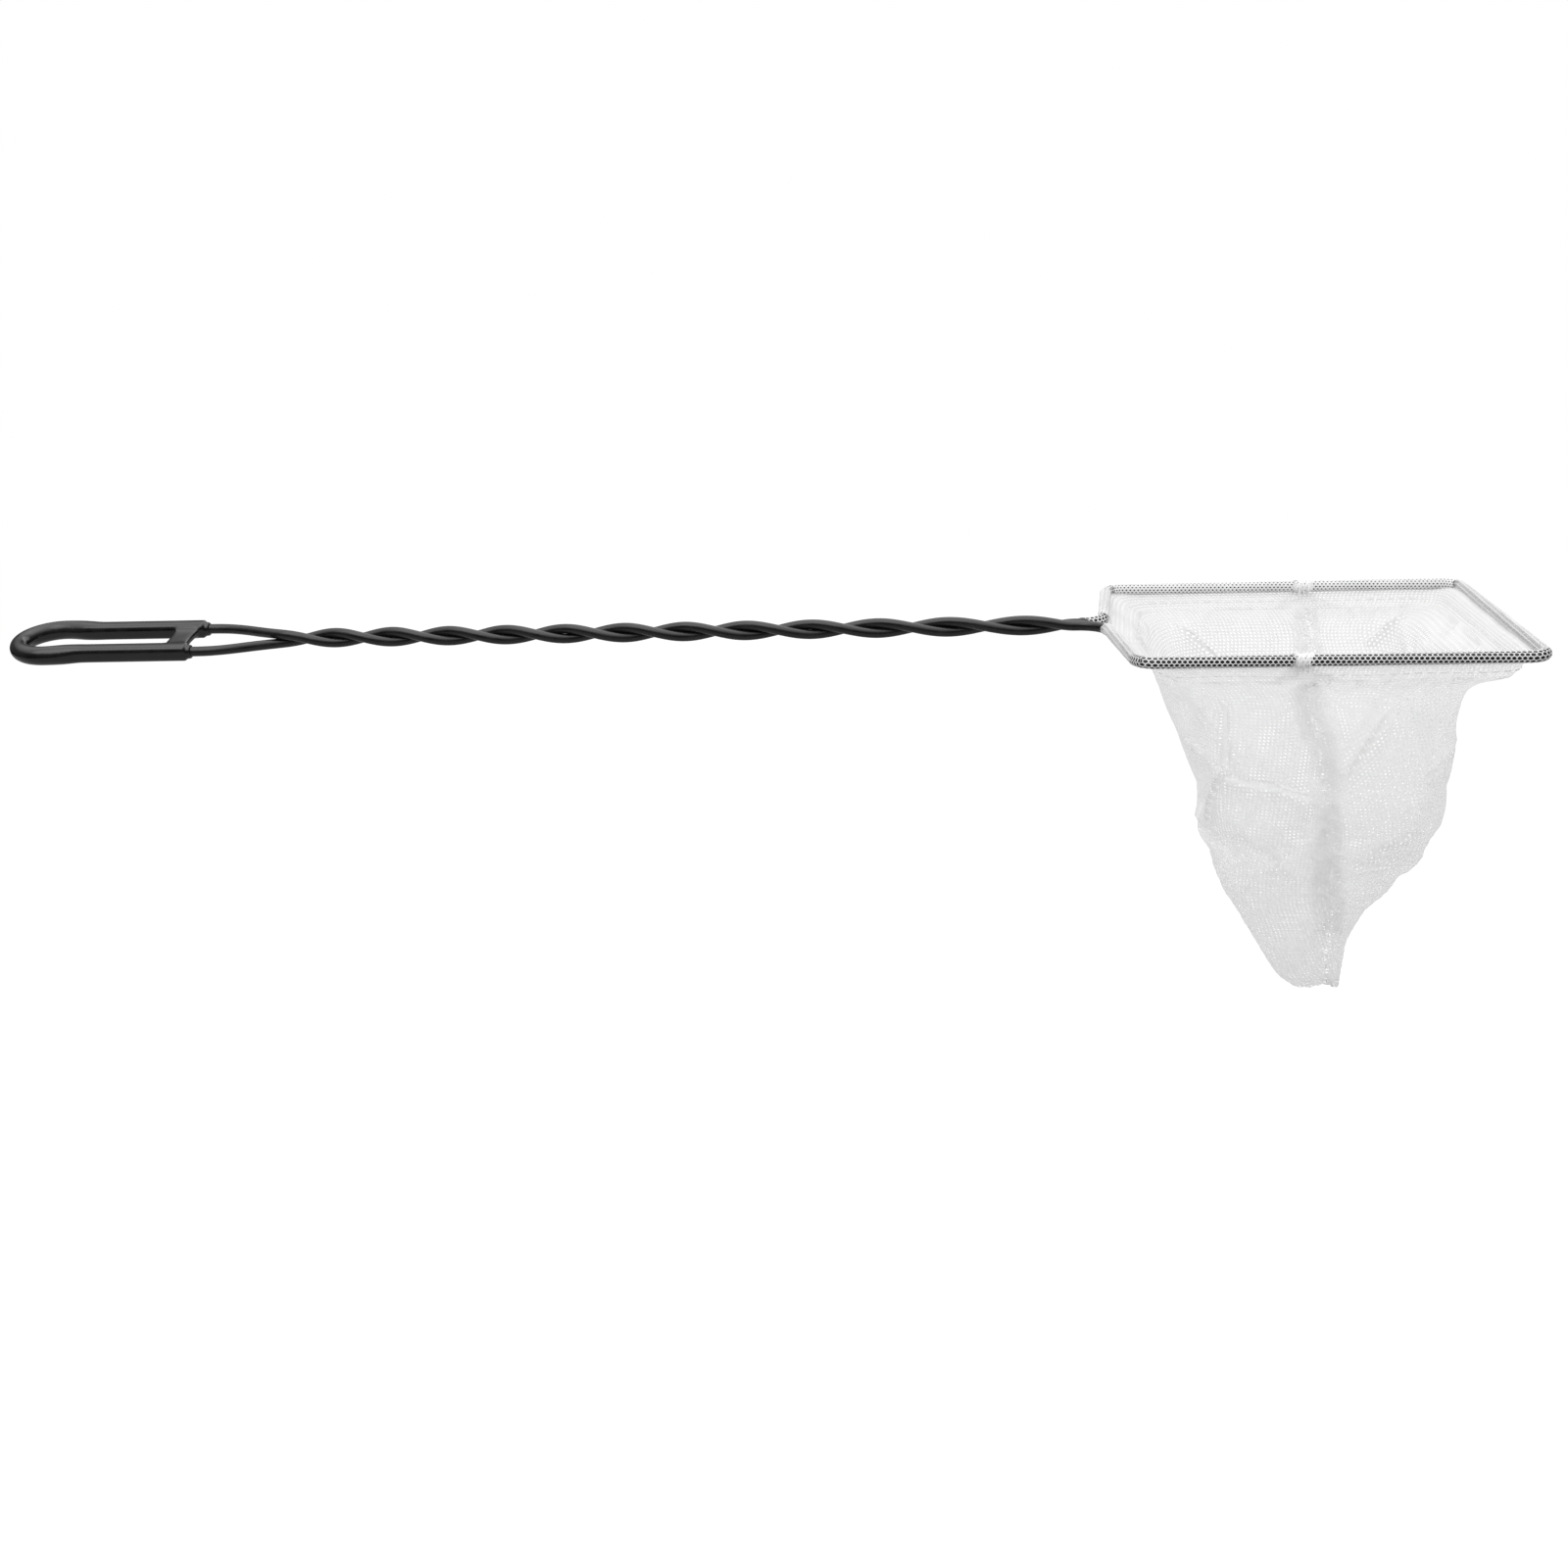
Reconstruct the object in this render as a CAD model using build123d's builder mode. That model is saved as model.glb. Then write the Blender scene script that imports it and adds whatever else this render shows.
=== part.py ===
"""Aquarium fish net: a moulded grip, a twisted coated-wire handle, a wire hoop and a sewn net bag.

Millimetres. The origin is the centre of the grip's hanging loop. The handle runs along +X to the hoop,
which lies level at z = 0 with its front bar towards -Y, and the bag hangs down from it.
"""

import math
import os

from build123d import *

os.makedirs("parts", exist_ok=True)

# Coated wire: a steel core in a plastic sleeve
core_diameter = 1.9
core_clearance = 0.02
coating_wall = 0.40
strand_gap = 0.10

# Hoop, measured along the middle of its wire
hoop_distance = 294.0
hoop_length = 100.0
hoop_width = 88.0
hoop_corner_radius = 5.0
neck_setback = 4.6
neck_bend_radius = 8.0
neck_straight = 0.5

# Twisted handle
half_lay = 17.4
lay_growth = 1.33
lead_in = 30.0
run_out = 5.0
wire_lead = 1.0

# Moulded grip, measured from the centre of its loop
loop_diameter = 19.0
loop_thickness = 5.2
loop_taper = 11.0
arm_spacing = 16.5
arm_width = 4.8
arm_height = 4.6
arm_rounding = 1.5
arm_reach = 40.3
collar_diameter = 3.9
collar_length = 1.2
collar_rounding = 0.3
web_length = 7.0
web_thickness = 2.0
web_setback = 0.6
web_hollow = 1.2
socket_depth = 26.0
socket_clearance = 0.03
grip_roll = 9.0

# Hem sleeve round the wire, with the sewn lip below it
hem_clearance = 0.03
hem_cloth = 0.20
lip_height = 4.2
lip_thickness = 0.5
front_neck_cover = 20.0
back_neck_cover = 50.0
tack_length = 6.0
tack_bulge = 0.35
tack_gap = 0.1

# Net bag: where its seams meet the hoop, its tail, and its cloth
front_seam_distance = 40.0
back_seam_distance = 56.0
bag_gap = 0.3
bag_depth = 106.0
tail_length = 11.0
tail_width = 9.0
tail_distance = 57.0
tail_setback = 0.5
net_thickness = 0.5
bag_rounding_growth = 16.0
bag_rounding_limit = 0.42

# Openings through the bag's walls, a coarse grid in place of the fine mesh
mesh_pitch = 9.0
mesh_opening = 6.4
mesh_margin = 1.2
mesh_corner_share = 0.35

# How far the bag has drawn in from the mouth to the tail, at each share of its depth:
# depth, handle side, tip side, front and back
bag_profile = (
    (0.00, 0.00, 0.00, 0.00),
    (0.08, 0.20, 0.44, 0.13),
    (0.19, 0.28, 0.47, 0.22),
    (0.39, 0.39, 0.48, 0.33),
    (0.52, 0.46, 0.61, 0.43),
    (0.69, 0.58, 0.88, 0.61),
    (0.84, 0.78, 0.99, 0.81),
    (1.00, 1.00, 1.00, 1.00),
)

# Sewing
seam_allowance_width = 6.0
seam_allowance_thickness = 0.4
seam_allowance_gap = 0.05
front_seam_row_count = 6
back_seam_row_count = 5
stitch_length = 1.8
stitch_pitch = 3.0
stitch_height = 0.35
stitch_thickness = 0.25
stitch_margin = 2.0

# Worked out from the sizes above
core_radius = core_diameter / 2
coating_inner_radius = core_radius + core_clearance
coated_radius = coating_inner_radius + coating_wall
twist_radius = coated_radius + strand_gap / 2
hem_inner_radius = coated_radius + hem_clearance
hem_outer_radius = hem_inner_radius + hem_cloth
half_width = hoop_width / 2
hoop_end = hoop_distance + hoop_length
neck_slope = neck_setback / half_width
apex = Vector(hoop_distance - neck_setback, 0)
side_turn = math.degrees(math.atan2(1, neck_slope))
neck_corner_x = apex.X + neck_slope * twist_radius
neck_x = neck_corner_x - neck_bend_radius * math.tan(math.radians(side_turn / 2)) - neck_straight
grip_end = arm_reach + collar_length
twist_start = grip_end + wire_lead
lip_top = hem_inner_radius + hem_cloth / 2
lip_bottom = hem_outer_radius + lip_height
front_seam_x = hoop_distance + front_seam_distance
back_seam_x = hoop_distance + back_seam_distance
bag_top = lip_bottom + bag_gap
tail_x = hoop_distance + tail_distance

# The middle of the twist, between its two ends, in an odd number of half turns in all
twist_length = neck_x - run_out - twist_start - lead_in
half_turns = 2 * round(twist_length / half_lay / 2) + 1
run_out_turns = run_out / (2 * half_lay)
middle_turns = half_turns - 1 - run_out_turns
first_half_lay = twist_length / middle_turns / (1 + (lay_growth - 1) / 4)


def strand_point(turns, side):
    """A point on a strand's centre line, at a count of half turns; side is +1 or -1 at the grip."""
    spread = twist_radius
    roll = 0.0
    if turns <= 1:
        along = turns ** (first_half_lay / lead_in)
        still_open = (1 + math.cos(math.pi * along)) / 2
        spread += (arm_spacing / 2 - twist_radius) * still_open
        roll = grip_roll * still_open
        x = twist_start + lead_in * along
    elif turns <= 1 + middle_turns:
        count = turns - 1
        stretch = twist_length - first_half_lay * middle_turns
        x = twist_start + lead_in + first_half_lay * count + stretch * (count / middle_turns) ** 4
    else:
        left = max(0.0, half_turns - turns) / run_out_turns
        x = neck_x - run_out * math.sqrt(left)
    angle = math.pi * turns
    point = Vector(x, side * spread * math.cos(angle), side * twist_radius * math.sin(angle))
    return point.rotate(Axis.X, roll)


def strand_direction(turns, side):
    """The direction of a strand there; both ends run straight along the handle."""
    if turns <= 0 or turns >= half_turns:
        return Vector(1, 0, 0)
    step = 0.001
    return (strand_point(turns + step, side) - strand_point(turns - step, side)).normalized()


def draw_biarc(start, start_direction, end, end_direction):
    """Two arcs that join two points in the given directions."""
    chord = end - start
    both = start_direction + end_direction
    spare = 2 * (1 - start_direction.dot(end_direction))
    along = chord.dot(both)
    reach = chord.dot(chord) / (along + math.sqrt(along**2 + spare * chord.dot(chord)))
    first = start + start_direction * reach
    second = end - end_direction * reach
    middle = (first + second) / 2
    TangentArc(start, middle, tangent=start_direction)
    TangentArc(middle, end, tangent=second - first)


def strand_route(side):
    """From the bottom of a grip socket, through the twist, to the hoop's neck."""
    quarter_turns = [0.5 * step for step in range(1, 2 * half_turns)]
    first_turns = [0, 0.1, 0.25]
    last_turns = [half_turns - 2 * run_out_turns, half_turns - run_out_turns / 2, half_turns]
    stations = [*first_turns, *quarter_turns, *last_turns]
    points = [strand_point(turns, side) for turns in stations]
    directions = [strand_direction(turns, side) for turns in stations]
    socket_bottom = Vector(grip_end - socket_depth, side * arm_spacing / 2).rotate(Axis.X, grip_roll)
    with BuildLine() as route:
        Line(socket_bottom, points[0])
        for here in range(len(stations) - 1):
            draw_biarc(points[here], directions[here], points[here + 1], directions[here + 1])
    return route.wire()


def half_hoop_route(side, bar_x):
    """Half of the hoop, from a point on its front or back bar to the handle's neck."""
    bar = Vector(bar_x, side * half_width)
    corner = Vector(hoop_distance, side * half_width)
    neck_corner = Vector(neck_corner_x, side * twist_radius)
    neck = Vector(neck_x, side * twist_radius)
    with BuildLine() as route:
        FilletPolyline(bar, corner, neck_corner, neck, radius=[hoop_corner_radius, neck_bend_radius])
    return route.wire()


def sleeve_route(side, bar_x, neck_cover):
    """Half of the hoop's handle side as far as the hem covers it, neck_cover degrees into the neck's bend."""
    whole = half_hoop_route(side, bar_x)
    bare = neck_straight + neck_bend_radius * math.radians(side_turn - neck_cover)
    return whole.trim(0, 1 - bare / whole.length)


def tip_route(front_x, back_x):
    """The hoop's tip side, from a point on its front bar to one on its back bar."""
    start = Vector(front_x, -half_width)
    front = Vector(hoop_end, -half_width)
    back = Vector(hoop_end, half_width)
    end = Vector(back_x, half_width)
    with BuildLine() as route:
        FilletPolyline(start, front, back, end, radius=[hoop_corner_radius, hoop_corner_radius])
    return route.wire()


def handle_lip_route(front_x, back_x):
    """The hoop's handle side straight across the neck, from the front bar to the back bar."""
    start = Vector(front_x, -half_width)
    front = Vector(hoop_distance, -half_width)
    back = Vector(hoop_distance, half_width)
    end = Vector(back_x, half_width)
    radii = [hoop_corner_radius, neck_bend_radius, hoop_corner_radius]
    with BuildLine() as route:
        FilletPolyline(start, front, apex, back, end, radius=radii)
    return route.wire()


def start_plane(route):
    return Plane(origin=route @ 0, z_dir=route % 0)


def bag_row(row, inset):
    """The depth, the sides and the corner rounding of one row of the bag, inset from its outside."""
    depth, handle, tip, side = row
    skin = net_thickness / 2 - inset
    level = bag_top + depth * (bag_depth - bag_top - inset)
    left = hoop_distance + handle * (tail_distance - tail_length / 2) - skin
    right = hoop_end - tip * (hoop_length - tail_distance - tail_length / 2) + skin
    across = half_width - side * (half_width - tail_width / 2) + skin
    most = bag_rounding_limit * min(right - left, 2 * across)
    rounding = min(hoop_corner_radius + bag_rounding_growth * depth, most)
    return level, left, right, across, rounding


def bag_form(inset):
    """The bag as a full solid, its surface inset from the outside of the net."""
    with BuildPart() as form:
        for row in bag_profile:
            level, left, right, across, rounding = bag_row(row, inset)
            setback = neck_setback + (tail_setback - neck_setback) * row[0]
            with BuildSketch(Plane.XY.offset(-level)):
                with BuildLine():
                    FilletPolyline(
                        (left - setback, 0),
                        (left, -across),
                        (right, -across),
                        (right, across),
                        (left, across),
                        radius=[0, rounding, rounding, rounding, rounding],
                        close=True,
                    )
                make_face()
        loft(ruled=True)
    return form.part


# Steel cores and plastic coatings of the two twisted strands
for strand_name, side in (("near", -1), ("far", 1)):
    route = strand_route(side)
    with BuildPart() as strand_core:
        with BuildSketch(start_plane(route)):
            Circle(core_radius)
        sweep(path=route)
    strand_core.part.label = f"{strand_name}_strand_core"
    export_step(strand_core.part, f"parts/{strand_name}_strand_core.step")

    with BuildPart() as strand_coating:
        with BuildSketch(start_plane(route)):
            Circle(coated_radius)
            Circle(coating_inner_radius, mode=Mode.SUBTRACT)
        sweep(path=route)
    strand_coating.part.label = f"{strand_name}_strand_coating"
    export_step(strand_coating.part, f"parts/{strand_name}_strand_coating.step")

# Hoop: the same wire, opened out at the neck and bent round
with BuildLine() as hoop_line:
    FilletPolyline(
        (neck_x, -twist_radius),
        (neck_corner_x, -twist_radius),
        (hoop_distance, -half_width),
        (hoop_end, -half_width),
        (hoop_end, half_width),
        (hoop_distance, half_width),
        (neck_corner_x, twist_radius),
        (neck_x, twist_radius),
        radius=[neck_bend_radius, *[hoop_corner_radius] * 4, neck_bend_radius],
    )
hoop_route = hoop_line.wire()

with BuildPart() as hoop_core:
    with BuildSketch(start_plane(hoop_route)):
        Circle(core_radius)
    sweep(path=hoop_route)
hoop_core.part.label = "hoop_core"
export_step(hoop_core.part, "parts/hoop_core.step")

with BuildPart() as hoop_coating:
    with BuildSketch(start_plane(hoop_route)):
        Circle(coated_radius)
        Circle(coating_inner_radius, mode=Mode.SUBTRACT)
    sweep(path=hoop_route)
hoop_coating.part.label = "hoop_coating"
export_step(hoop_coating.part, "parts/hoop_coating.step")

# Grip: a round loop for hanging it up, two square arms that take the wires, and a web between them,
# rolled a little from the level of the hoop, as the twisted wires have left it
with BuildPart() as grip:
    with BuildLine() as loop_line:
        draw_biarc(
            Vector(loop_taper, arm_spacing / 2),
            Vector(-1, 0),
            Vector(0, loop_diameter / 2),
            Vector(-1, 0),
        )
        JernArc((0, loop_diameter / 2), (-1, 0), loop_diameter / 2, 180)
        draw_biarc(
            Vector(0, -loop_diameter / 2),
            Vector(1, 0),
            Vector(loop_taper, -arm_spacing / 2),
            Vector(1, 0),
        )
    with BuildSketch(start_plane(loop_line.wire())):
        Circle(loop_thickness / 2)
    sweep(path=loop_line.wire())
    with BuildSketch(Plane.YZ.offset(loop_taper)):
        with GridLocations(arm_spacing, 0, 2, 1):
            RectangleRounded(arm_width, arm_height, arm_rounding)
    extrude(amount=arm_reach - loop_taper)
    with BuildSketch(Plane.YZ.offset(arm_reach)):
        with GridLocations(arm_spacing, 0, 2, 1):
            Circle(collar_diameter / 2)
    extrude(amount=collar_length)
    fillet(faces().group_by(Axis.X)[-1].edges(), collar_rounding)
    web_end = arm_reach - web_setback
    with BuildSketch():
        with BuildLine():
            Polyline(
                (web_end, -arm_spacing / 2),
                (web_end - web_length, -arm_spacing / 2),
                (web_end - web_length, arm_spacing / 2),
                (web_end, arm_spacing / 2),
            )
            SagittaArc((web_end, arm_spacing / 2), (web_end, -arm_spacing / 2), web_hollow)
        make_face()
    extrude(amount=web_thickness / 2, both=True)
    with BuildSketch(Plane.YZ.offset(grip_end)):
        with GridLocations(arm_spacing, 0, 2, 1):
            Circle(coated_radius + socket_clearance)
    extrude(amount=-socket_depth, mode=Mode.SUBTRACT)
rolled_grip = grip.part.rotate(Axis.X, grip_roll)
rolled_grip.label = "grip"
export_step(rolled_grip, "parts/grip.step")

# Hems: the net's edge folded round the wire, with its lip sewn below
handle_front_x = front_seam_x - tack_length / 2 - tack_gap
handle_back_x = back_seam_x - tack_length / 2 - tack_gap
tip_front_x = front_seam_x + tack_length / 2 + tack_gap
tip_back_x = back_seam_x + tack_length / 2 + tack_gap
handle_lip = handle_lip_route(handle_front_x, handle_back_x)
tip_lip = tip_route(tip_front_x, tip_back_x)

with BuildPart() as handle_side_hem:
    for route in (
        sleeve_route(-1, handle_front_x, front_neck_cover),
        sleeve_route(1, handle_back_x, back_neck_cover),
    ):
        with BuildSketch(start_plane(route)):
            Circle(hem_outer_radius)
            Circle(hem_inner_radius, mode=Mode.SUBTRACT)
        sweep(path=route)
    with BuildSketch(Plane.XY.offset(-lip_bottom)):
        trace(handle_lip, line_width=lip_thickness)
    extrude(amount=lip_bottom - lip_top)
handle_side_hem.part.label = "handle_side_hem"
export_step(handle_side_hem.part, "parts/handle_side_hem.step")

with BuildPart() as tip_side_hem:
    with BuildSketch(start_plane(tip_lip)):
        Circle(hem_outer_radius)
        Circle(hem_inner_radius, mode=Mode.SUBTRACT)
    sweep(path=tip_lip)
    with BuildSketch(Plane.XY.offset(-lip_bottom)):
        trace(tip_lip, line_width=lip_thickness)
    extrude(amount=lip_bottom - lip_top)
tip_side_hem.part.label = "tip_side_hem"
export_step(tip_side_hem.part, "parts/tip_side_hem.step")

# Hem stitching: a row of short stitches along the outside of each lip
for stitching_name, route, outward in (
    ("handle_side_hem_stitching", handle_lip, -1),
    ("tip_side_hem_stitching", tip_lip, 1),
):
    sewn_length = route.length - 2 * stitch_margin
    stitches = int(sewn_length / stitch_pitch)
    places = []
    for number in range(stitches + 1):
        share = (stitch_margin + sewn_length * number / stitches) / route.length
        along = route % share
        out = Vector(-outward * -along.Y, -outward * along.X)
        middle = route @ share + out * (lip_thickness + stitch_thickness) / 2
        middle.Z = -(hem_outer_radius + lip_bottom) / 2
        places.append(Plane(origin=middle, x_dir=along, z_dir=(0, 0, 1)))
    with BuildPart() as hem_stitching:
        with Locations(*places):
            Box(stitch_length, stitch_thickness, stitch_height)
    hem_stitching.part.label = stitching_name
    export_step(hem_stitching.part, f"parts/{stitching_name}.step")

# Hem tacks: dense sewn lumps on the hoop where the two hems meet at each seam
for tack_name, seam_x, bar_y in (
    ("front_hem_tack", front_seam_x, -half_width),
    ("back_hem_tack", back_seam_x, half_width),
):
    tack_plane = Plane(origin=(seam_x - tack_length / 2, bar_y, 0), x_dir=(0, 1, 0), z_dir=(1, 0, 0))
    with BuildPart() as hem_tack:
        with BuildSketch(tack_plane):
            Circle(hem_outer_radius + tack_bulge)
            with Locations((0, -(lip_top + lip_bottom) / 2)):
                Rectangle(lip_thickness + 2 * tack_bulge, lip_bottom - lip_top)
            Circle(hem_inner_radius, mode=Mode.SUBTRACT)
        extrude(amount=tack_length)
    hem_tack.part.label = tack_name
    export_step(hem_tack.part, f"parts/{tack_name}.step")

def seam_x(level, y):
    """Where the plane of the seams lies along the handle, at a level and a distance across the bag."""
    middle = (front_seam_x + back_seam_x) / 2
    lean = (tail_x - middle) * level / bag_depth
    skew = (back_seam_x - front_seam_x) * y / hoop_width
    return middle + lean + skew


def bag_sides(level):
    """The sides and the corner rounding of the bag's inside, at a level between its rows."""
    rows = [bag_row(row, net_thickness) for row in bag_profile]
    upper, lower = next(pair for pair in zip(rows, rows[1:]) if level <= pair[1][0])
    share = (level - upper[0]) / (lower[0] - upper[0])
    return [above + (below - above) * share for above, below in zip(upper[1:], lower[1:])]


def grid_places(low, high):
    """Middles of as many openings as fit between two sides, spread about the middle."""
    count = max(0, int((high - low + mesh_pitch - mesh_opening) / mesh_pitch))
    return [(low + high) / 2 + mesh_pitch * (number - (count - 1) / 2) for number in range(count)]


# Bag: two net panels that meet on the plane through both tacks and the tail, with openings in every wall
wall_places = []
handle_places = []
tip_places = []
seam_clearance = (seam_allowance_width + mesh_opening) / 2
for mesh_row in range(int((bag_depth - bag_top) / mesh_pitch)):
    level = bag_top + mesh_pitch * (mesh_row + 0.5)
    left, right, across, rounding = bag_sides(level + mesh_opening / 2)
    margin = max(mesh_margin, mesh_corner_share * rounding)
    for side in (-1, 1):
        for x in grid_places(left + margin, right - margin):
            if abs(x - seam_x(level, side * across)) > seam_clearance:
                wall_places.append((x, side * half_width, -level))
    for y in grid_places(margin - across, across - margin):
        handle_places.append((hoop_distance, y, -level))
        tip_places.append((hoop_end, y, -level))

seam_front = Vector(front_seam_x, -half_width, 0)
seam_back = Vector(back_seam_x, half_width, 0)
seam_tail = Vector(tail_x, 0, -bag_depth)
seam_across = seam_back - seam_front
seam_plane = Plane(
    origin=seam_tail,
    x_dir=seam_across,
    z_dir=seam_across.cross(seam_front - seam_tail),
)

with BuildPart() as bag_shell:
    add(bag_form(0))
    add(bag_form(net_thickness), mode=Mode.SUBTRACT)
    with Locations(*wall_places):
        Box(mesh_opening, hoop_width - tail_width, mesh_opening, mode=Mode.SUBTRACT)
    with Locations(*handle_places):
        Box(2 * tail_distance, mesh_opening, mesh_opening, mode=Mode.SUBTRACT)
    with Locations(*tip_places):
        Box(2 * (hoop_length - tail_distance), mesh_opening, mesh_opening, mode=Mode.SUBTRACT)

with BuildPart() as handle_side_panel:
    add(bag_shell.part)
    split(bisect_by=seam_plane, keep=Keep.BOTTOM)
handle_side_panel.part.label = "handle_side_panel"
export_step(handle_side_panel.part, "parts/handle_side_panel.step")

with BuildPart() as tip_side_panel:
    add(bag_shell.part)
    split(bisect_by=seam_plane, keep=Keep.TOP)
tip_side_panel.part.label = "tip_side_panel"
export_step(tip_side_panel.part, "parts/tip_side_panel.step")


def seam_point(row, inset, side):
    """Where the seam's plane meets the front or back of the bag, at one row of its profile."""
    level, _, _, across, _ = bag_row(row, inset)
    return Vector(seam_x(level, side * across), side * across, -level)


# Seam allowances: the panels' turned-in edges, a double strip inside the bag down each seam,
# with a row of stitches on it
strip_inset = net_thickness + seam_allowance_gap + seam_allowance_thickness / 2
thread_inset = net_thickness + seam_allowance_gap + seam_allowance_thickness

for seam_name, side, row_count in (
    ("front", -1, front_seam_row_count),
    ("back", 1, back_seam_row_count),
):
    seam_rows = bag_profile[:row_count]
    with BuildPart() as seam_allowance:
        for row in seam_rows:
            middle = seam_point(row, strip_inset, side)
            with BuildSketch(Plane.XY.offset(middle.Z)):
                with Locations((middle.X, middle.Y)):
                    Rectangle(seam_allowance_width, seam_allowance_thickness)
        loft(ruled=True)
    seam_allowance.part.label = f"{seam_name}_seam_allowance"
    export_step(seam_allowance.part, f"parts/{seam_name}_seam_allowance.step")

    places = []
    for upper_row, lower_row in zip(seam_rows, seam_rows[1:]):
        upper = seam_point(upper_row, thread_inset, side)
        run = seam_point(lower_row, thread_inset, side) - upper
        inward = Vector(0, run.Z * side, -run.Y * side).normalized()
        stitches = int(run.length / stitch_pitch)
        for number in range(stitches):
            seat = upper + run * (number + 0.5) / stitches
            lifted = seat + inward * (seam_allowance_gap + stitch_thickness / 2)
            places.append(Plane(origin=lifted, x_dir=run, z_dir=inward))
    with BuildPart() as seam_stitching:
        with Locations(*places):
            Box(stitch_length, stitch_height, stitch_thickness)
    seam_stitching.part.label = f"{seam_name}_seam_stitching"
    export_step(seam_stitching.part, f"parts/{seam_name}_seam_stitching.step")

print(f"half turns in the handle: {half_turns}")
print(f"openings in the bag: {len(wall_places) + len(handle_places) + len(tip_places)}")
print(f"overall length: {hoop_end + hem_outer_radius + (loop_diameter + loop_thickness) / 2:.1f} mm")
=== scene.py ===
import bpy
import numpy as np
from mathutils import Matrix, Vector


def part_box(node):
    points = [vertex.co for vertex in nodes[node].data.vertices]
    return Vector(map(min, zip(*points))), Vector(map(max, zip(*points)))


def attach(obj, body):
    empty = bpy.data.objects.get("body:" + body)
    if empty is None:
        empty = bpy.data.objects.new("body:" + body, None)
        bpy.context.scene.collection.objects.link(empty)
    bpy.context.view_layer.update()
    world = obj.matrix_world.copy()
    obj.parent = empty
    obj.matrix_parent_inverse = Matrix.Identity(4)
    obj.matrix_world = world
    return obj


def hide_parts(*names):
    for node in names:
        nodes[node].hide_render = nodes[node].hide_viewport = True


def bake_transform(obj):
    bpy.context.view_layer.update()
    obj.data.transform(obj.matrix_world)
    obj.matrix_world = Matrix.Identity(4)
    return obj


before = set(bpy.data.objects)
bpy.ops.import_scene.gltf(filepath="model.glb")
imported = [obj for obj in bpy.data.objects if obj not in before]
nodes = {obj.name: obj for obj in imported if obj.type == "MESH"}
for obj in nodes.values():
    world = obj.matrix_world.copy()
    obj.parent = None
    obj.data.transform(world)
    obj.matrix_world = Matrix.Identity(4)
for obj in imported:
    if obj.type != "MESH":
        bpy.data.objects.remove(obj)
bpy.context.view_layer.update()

scene = bpy.context.scene
mm = 0.001
print("frame loaded,", len(nodes), "nodes")


# small tools

def boxOf(node):
    low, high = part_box(node)
    return np.array(low) / mm, np.array(high) / mm


def unit(vectors):
    return vectors / np.linalg.norm(vectors, axis=-1, keepdims=True)


def ease(low, high, x):
    # 0 below low, 1 above high, a smooth step between
    share = np.clip((x - low) / (high - low), 0, 1)
    return share * share * (3 - 2 * share)


def lengthsAlong(points):
    # running length of a polyline, from 0
    return np.concatenate([[0], np.cumsum(np.linalg.norm(np.diff(points, axis=0), axis=1))])


def rowsAt(places, along, rows):
    # rows of numbers that go with lengths along a path, at other lengths along it
    return np.stack([np.interp(places, along, column) for column in rows.T], axis=-1)


def evenPath(points, step):
    # the same polyline with points about step apart
    along = lengthsAlong(points)
    return rowsAt(np.linspace(0, along[-1], int(along[-1] / step) + 2), along, points)


def filletPath(corners, radii, step=0.5, arcPoints=40):
    # straight runs, with each inner corner replaced by an arc tangent to both of its runs
    corners = np.array(corners, float)
    stretches = [corners[:1]]
    for before, corner, after, radius in zip(corners, corners[1:], corners[2:], radii):
        back, on = unit(before - corner), unit(after - corner)
        half = np.arccos(np.clip(back @ on, -1, 1)) / 2
        centre = corner + unit(back + on) * radius / np.sin(half)
        first = corner + back * radius / np.tan(half) - centre
        last = corner + on * radius / np.tan(half) - centre
        turn = np.pi - 2 * half
        share = np.linspace(0, 1, arcPoints)[:, None]
        stretches.append(centre + (np.sin((1 - share) * turn) * first + np.sin(share * turn) * last) / np.sin(turn))
    stretches.append(corners[-1:])
    return evenPath(np.concatenate(stretches), step)


def smoothCurve(knots, values, x):
    # cubic through the knots, its slopes limited so that it never overshoots them
    knots, values = np.array(knots, float), np.array(values, float)
    rise = np.diff(values) / np.diff(knots)
    slope = np.zeros_like(values)
    both = rise[:-1] * rise[1:] > 0
    slope[1:-1][both] = 2 * rise[:-1][both] * rise[1:][both] / (rise[:-1] + rise[1:])[both]
    slope[0], slope[-1] = rise[0], rise[-1]
    here = np.clip(np.searchsorted(knots, x) - 1, 0, len(knots) - 2)
    width = knots[here + 1] - knots[here]
    t = (x - knots[here]) / width
    return ((1 + 2 * t) * (1 - t) ** 2 * values[here] + t * (1 - t) ** 2 * width * slope[here]
            + t * t * (3 - 2 * t) * values[here + 1] + t * t * (t - 1) * width * slope[here + 1])


def pathFrames(path, up=(0.0, 0.0, 1.0)):
    # direction, sideways and upward vectors at each point of a path that never runs along up
    along = unit(np.gradient(path, axis=0))
    sideways = unit(np.cross(np.broadcast_to(up, along.shape), along))
    return along, sideways, np.cross(along, sideways)


def gridFaces(rows, columns):
    # quads between neighbouring rows and columns, the columns closed into a ring
    here = np.arange(rows * columns).reshape(rows, columns)
    after = np.roll(here, -1, axis=1)
    return np.stack([here[:-1], after[:-1], after[1:], here[1:]], axis=-1).reshape(-1, 4)


def linked(name, data):
    # a new object in the scene
    made = bpy.data.objects.new(name, data)
    scene.collection.objects.link(made)
    return made


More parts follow.
